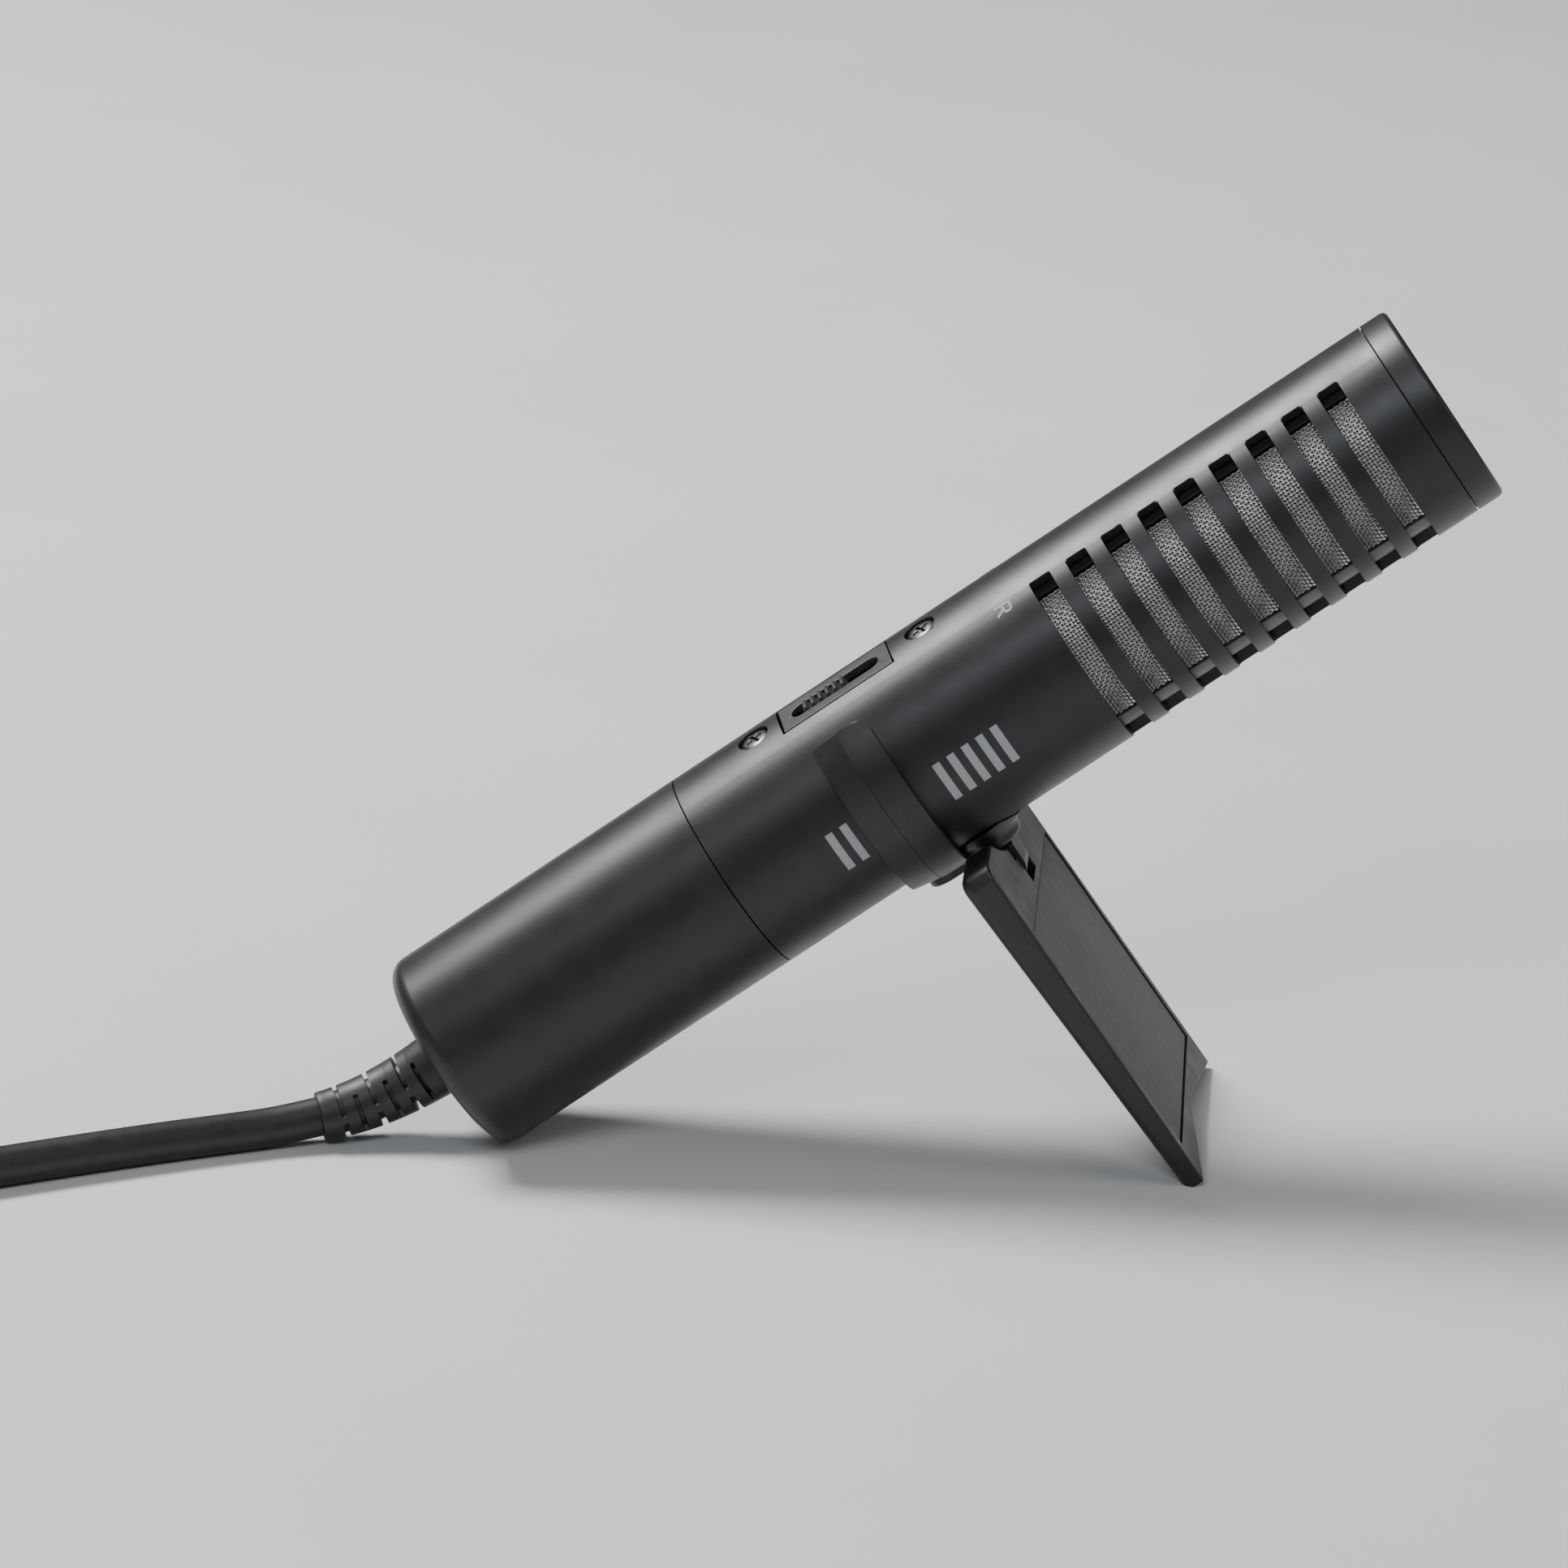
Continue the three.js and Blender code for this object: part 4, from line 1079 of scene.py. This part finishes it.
def add_leg():
    length = leg_length()
    mesh = leg_wedge(leg_outline(length), leg_face(length, -1), leg_face(length, 1))
    weigh_edges(mesh, length)
    floor = -PANEL_DEPTH
    recess = leg_wedge(recess_outline(length, 0), leg_face(length, 1, floor), leg_face(length, 1, 2))
    top = LEG_TOP + 1
    knuckle = box_mesh((-CUT_REACH, -KNUCKLE_HALF, -KNUCKLE_SLOT), (CUT_REACH, KNUCKLE_HALF, top))
    pocket = box_mesh((-CUT_REACH, -POCKET_HALF, POCKET_FLOOR), (CUT_REACH, POCKET_HALF, top))
    table = box_mesh((-0.2, -0.2, -0.02), (0.2, 0.2, 0))  # in metres; it cuts the feet level
    table.transform(HINGE.inverted())
    cutter = cutter_of([recess, knuckle, pocket, table], HINGE)
    add_piece("leg_frame", mesh, HINGE, "leg", "black_plastic", ["leg"], LEG_EDGE, 5, cutter, weighted=True)
    low = floor + PANEL_LIFT
    inlay = recess_outline(length, PANEL_GAP)
    panel = leg_wedge(inlay, leg_face(length, 1, low), leg_face(length, 1, low + PANEL_THICK))
    add_piece("leg_inlay", panel, HINGE, "leg", "panel_brown", ["leg_panel"], 0.18, 3)


def weigh_edges(mesh, length):
    """The rails round over behind, and less in front and at the foot."""
    shape = bmesh.new()
    shape.from_mesh(mesh)
    layer = shape.edges.layers.float.new("bevel_weight_edge")
    for edge in shape.edges:
        if edge.calc_face_angle() < math.radians(50):
            continue
        behind = all(v.co.x < 0 for v in edge.verts)
        in_front = all(v.co.x > 0 for v in edge.verts)
        low = all(v.co.z < -length + NOTCH_DEPTH + 0.5 for v in edge.verts)
        if low:
            edge[layer] = FOOT_EDGE
        elif behind:
            edge[layer] = 1.0
        elif in_front:
            edge[layer] = FRONT_EDGE
    shape.to_mesh(mesh)
    shape.free()


# ---- cord


def smooth_route(points, step):
    """A centripetal Catmull-Rom curve through points, sampled at an even step."""
    p = [Vector(q) for q in points]
    p = [p[0] * 2 - p[1], *p, p[-1] * 2 - p[-2]]
    fine = []
    for i in range(1, len(p) - 2):
        knots = [0.0]
        for a, b in zip(p[i - 1:i + 2], p[i:i + 3]):
            knots.append(knots[-1] + math.sqrt((b - a).length))
        for k in range(12):
            t = knots[1] + (knots[2] - knots[1]) * k / 12
            layer = list(p[i - 1:i + 3])
            for width in (1, 2, 3):
                for j in range(4 - width):
                    low, high = (knots[1], knots[2]) if width == 3 else (knots[j], knots[j + width])
                    layer[j] = layer[j].lerp(layer[j + 1], (t - low) / (high - low))
            fine.append(layer[0].copy())
    fine.append(p[-2].copy())
    return evenly(fine, step)


def evenly(points, step):
    """Points at an even distance along a fine line."""
    lengths = np.cumsum([0.0] + [(b - a).length for a, b in zip(points, points[1:])])
    count = max(2, round(lengths[-1] / step))
    wanted = np.linspace(0, lengths[-1], count + 1)
    table = np.array([tuple(q) for q in points])
    return [Vector([np.interp(d, lengths, table[:, k]) for k in range(3)]) for d in wanted]


def ease(t):
    t = min(1.0, max(0.0, t))
    return t * t * (3 - 2 * t)


def hank_route():
    """The turns of the hank in millimetres round its middle, from the lead to the tail."""
    half = HANK_RUN / 2
    down_from, down_to = half - 20, half + 6  # along the far run: where inner turns step down
    in_from, in_to = half + 2, HANK_RUN  # where the outer column steps in
    run_steps, arc_steps = 5, 9
    route = []
    for k, (radius, z) in enumerate(HANK_TURNS):
        for i in range(run_steps):
            route.append((half - HANK_RUN * i / run_steps, -radius, z))
        for i in range(arc_steps + 1):
            a = math.radians(270 - 180 * i / arc_steps)
            route.append((-half + radius * math.cos(a), radius * math.sin(a), z))
        if k + 1 == len(HANK_TURNS):
            break
        next_radius, next_z = HANK_TURNS[k + 1]
        rising = next_z > z
        for i in range(1, 2 * run_steps + 1):
            along = HANK_RUN * i / (2 * run_steps)
            inward = ease((along - in_from) / (in_to - in_from))
            lower = 0 if rising else ease((along - down_from) / (down_to - down_from))
            across, level = radius + (next_radius - radius) * inward, z + (next_z - z) * lower
            route.append((along - half, across, level))
        for i in range(1, arc_steps):
            share = i / arc_steps
            a = math.radians(90 - 180 * share)
            level = z + (next_z - z) * ease(share / 0.8) if rising else next_z
            route.append((half + next_radius * math.cos(a), next_radius * math.sin(a), level))
    return route


def add_cord():
    lead = [Vector(p) + rear for p in LEAD_ROUTE]
    whole_lead = smooth_route(lead, LEAD_STEP)
    start = round(CORD_START * MM / LEAD_STEP)
    coil = [HANK @ Vector(p) for p in hank_route() + TAIL_ROUTE]
    end = HANK @ Vector(PLUG_AT)
    last = end + Vector((LEAD_STEP, 0, 0))  # just inside the plug
    route = smooth_route([whole_lead[start], *lead[6:], *coil, last], CORD_STEP)
    data = bpy.data.curves.new("cord", "CURVE")
    data.dimensions = "3D"
    data.bevel_depth = CORD_R * MM
    data.bevel_resolution = 5
    data.use_fill_caps = True
    line = data.splines.new("POLY")
    line.points.add(len(route) - 1)
    for point, place in zip(line.points, route):
        point.co = (*place, 1)
    line.use_smooth = True
    data.materials.append(looks["rubber"])
    cord = placed("cord", data)
    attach(cord, "microphone")
    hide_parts("cord_lead", "cord_hank", "cord_tail")
    relief = add_relief(whole_lead)
    pieces = [relief, *add_plug(), *add_ties()]


def relief_slots():
    """Where each slot starts from the relief's end, its direction and half its reach."""
    slots = []
    for i in range(RELIEF_SLOTS):
        for start, toward, half in RELIEF_ROWS:
            slots.append((start + i * RELIEF_SLOT_PITCH, math.radians(toward), math.radians(half)))
    return slots


def relief_distances(slots):
    """Where the relief's rings of corners are, from the rear face; one is inside the tube."""
    edge = 0.04
    marks = {0.0, RELIEF_LENGTH, RELIEF_LENGTH - 0.12, RELIEF_LENGTH - 0.35}
    marks |= {float(v) for v in range(1, int(RELIEF_LENGTH))}
    for start, _, _ in slots:
        for wall in (start, start + RELIEF_SLOT_WIDTH):
            marks |= {RELIEF_LENGTH - wall - edge, RELIEF_LENGTH - wall + edge}
    return [-RELIEF_INSIDE] + sorted(marks)


def relief_spins():
    """Directions round the relief, with two close together at each end of a slot."""
    full, nudge = 2 * math.pi, 0.02
    spins = set(np.round(np.arange(0, full, math.radians(6)), 4))
    for _, toward, half in RELIEF_ROWS:
        for end in (toward - half, toward + half, toward + 180 - half, toward + 180 + half):
            for spin in (math.radians(end) - nudge, math.radians(end) + nudge):
                spins.add(round(spin % full, 4))
    return sorted(spins)


def relief_radius(slots, distance, spin):
    length = RELIEF_LENGTH - distance
    if distance < 0:
        return RELIEF_R
    if length < 0.05:
        return CORD_R + 0.1
    for start, toward, half in slots:
        away = (spin - toward + math.pi / 2) % math.pi - math.pi / 2  # each slot has a twin opposite
        if start < length < start + RELIEF_SLOT_WIDTH and abs(away) < half:
            return RELIEF_SLOT_R
    taper = RELIEF_R + (RELIEF_END_R - RELIEF_R) * distance / RELIEF_LENGTH
    return taper - 0.1 if length < 0.13 else taper


def add_relief(lead):
    """A tapered sleeve round the lead, with slots in two alternating rows."""
    slots, spins = relief_slots(), relief_spins()
    distances = relief_distances(slots)

    def place(distance):
        if distance <= 0:
            return lead[0] - tube_axis * (distance * MM)
        whole = distance * MM / LEAD_STEP
        i = min(int(whole), len(lead) - 2)
        return lead[i].lerp(lead[i + 1], whole - i)

    path = [place(d) for d in distances]
    corners = []
    for i, point in enumerate(path):
        ahead = (path[min(i + 1, len(path) - 1)] - path[max(i - 1, 0)]).normalized()
        side = Vector((0, 0, 1)).cross(ahead).normalized()
        top = ahead.cross(side)
        for spin in spins:
            r = relief_radius(slots, distances[i], spin) * MM
            corners.append(point + side * (r * math.cos(spin)) + top * (r * math.sin(spin)))
    mesh = new_mesh("relief", corners, strip_faces(len(path), len(spins)), merge=0)
    return add_piece("relief_sleeve", mesh, Matrix.Identity(4), "microphone", "rubber", ["strain_relief"])


def add_plug():
    """A ribbed grip, its collar and a gold pin with two insulating rings."""
    place = HANK @ Matrix.Translation(PLUG_AT)
    profile = [(0, 0), (0, CORD_R + 0.15), (0.4, CORD_R + 0.35)]
    for i in range(4):
        x = 1.6 + 1.5 * i
        profile += [(x, 3.5 + 0.05 * i), (x + 0.05, 3.25), (x + 0.55, 3.25), (x + 0.6, 3.52 + 0.05 * i)]
    profile += [(7.8, PLUG_R), (PLUG_LENGTH - 1.2, PLUG_R), (PLUG_LENGTH, PLUG_R - 0.9), (PLUG_LENGTH, 0)]
    mesh = lathe("grip", profile, 64)
    grip = add_piece("plug_grip", mesh, place, "microphone", "black_plastic", ["plug_body"], 0.08)
    start = PLUG_LENGTH + 0.3
    tip = start + PIN_LENGTH
    pin_profile = [
        (start - 0.3, 0),
        (start - 0.3, 2.4),
        (start + 0.4, 2.4),
        (start + 0.4, 1.75),
        (tip - 3.3, 1.75),
        (tip - 3.0, 1.3),
        (tip - 2.6, 1.25),
        (tip - 1.6, 1.75),
        (tip - 1.2, 1.7),
        (tip - 0.3, 0.9),
        (tip, 0.5),
        (tip, 0),
    ]
    mesh = lathe("pin", pin_profile, 48)
    pin = add_piece("plug_contact", mesh, place, "microphone", "gold", ["plug_pin"], 0.05)
    rings = []
    for x in (tip - 4.6, tip - 7.6):
        rings.append(lathe("ring", [(x, 1.2), (x + 0.5, 1.2), (x + 0.5, 1.79), (x, 1.79)], 48))
    bands = add_piece("plug_insulators", joined("rings", rings), place, "microphone", "black_plastic")
    return [grip, pin, bands]


def add_ties():
    """A strap round each run of the hank."""
    ties = []
    inner = HANK_TURNS[-1][0] - CORD_R
    outer = HANK_TURNS[0][0] + CORD_R
    low = HANK_TURNS[0][1] - CORD_R
    high = HANK_TURNS[2][1] + CORD_R
    for number, (x, side) in enumerate(zip(TIE_X, (-1, 1))):
        loops = []
        for grow in (TIE_THICK, 0.02):
            r = CORD_R + grow
            y0, y1 = inner + CORD_R, outer - CORD_R
            z0, z1 = low + CORD_R, high - CORD_R
            loop = arc((y1, z1), r, 0, 90, 8) + arc((y0, z1), r, 90, 180, 8)
            loop += arc((y0, z0), r, 180, 270, 8) + arc((y1, z0), r, 270, 360, 8)
            loops.append([(side * y, z) for y, z in loop])
        mesh = slab("tie", loops, x - TIE_WIDTH / 2, x + TIE_WIDTH / 2, along_x)
        ties.append(add_piece(f"cord_tie_{number + 1}", mesh, HANK, "microphone", "tie_fabric", edge=0.08))
    return ties


# ---- the rest


def finish_cad_nodes():
    """Gives every CAD node that still shows the look of its material slot."""
    slots = {part["node"]: part["material_slot"] for part in frame["record"]["subparts"]}
    for name, node in frame["nodes"].items():
        node.data.materials.clear()
        node.data.materials.append(looks[slots[name]])


def add_floor():
    size = 6.0
    corners = [(-size, -size, 0), (size, -size, 0), (size, size, 0), (-size, size, 0)]
    mesh = bpy.data.meshes.new("floor")
    mesh.from_pydata(corners, [], [(0, 1, 2, 3)])
    mesh.materials.append(looks["pale_floor"])
    floor = placed("floor", mesh)


make_camera()
make_lights()
add_floor()
finish_cad_nodes()
add_cord()
add_barrel()
add_inner_frame()
add_meshes()
add_cap()
add_sleeve()
add_switch()
add_screws()
add_print()
add_clip()
add_swivel()
add_leg()
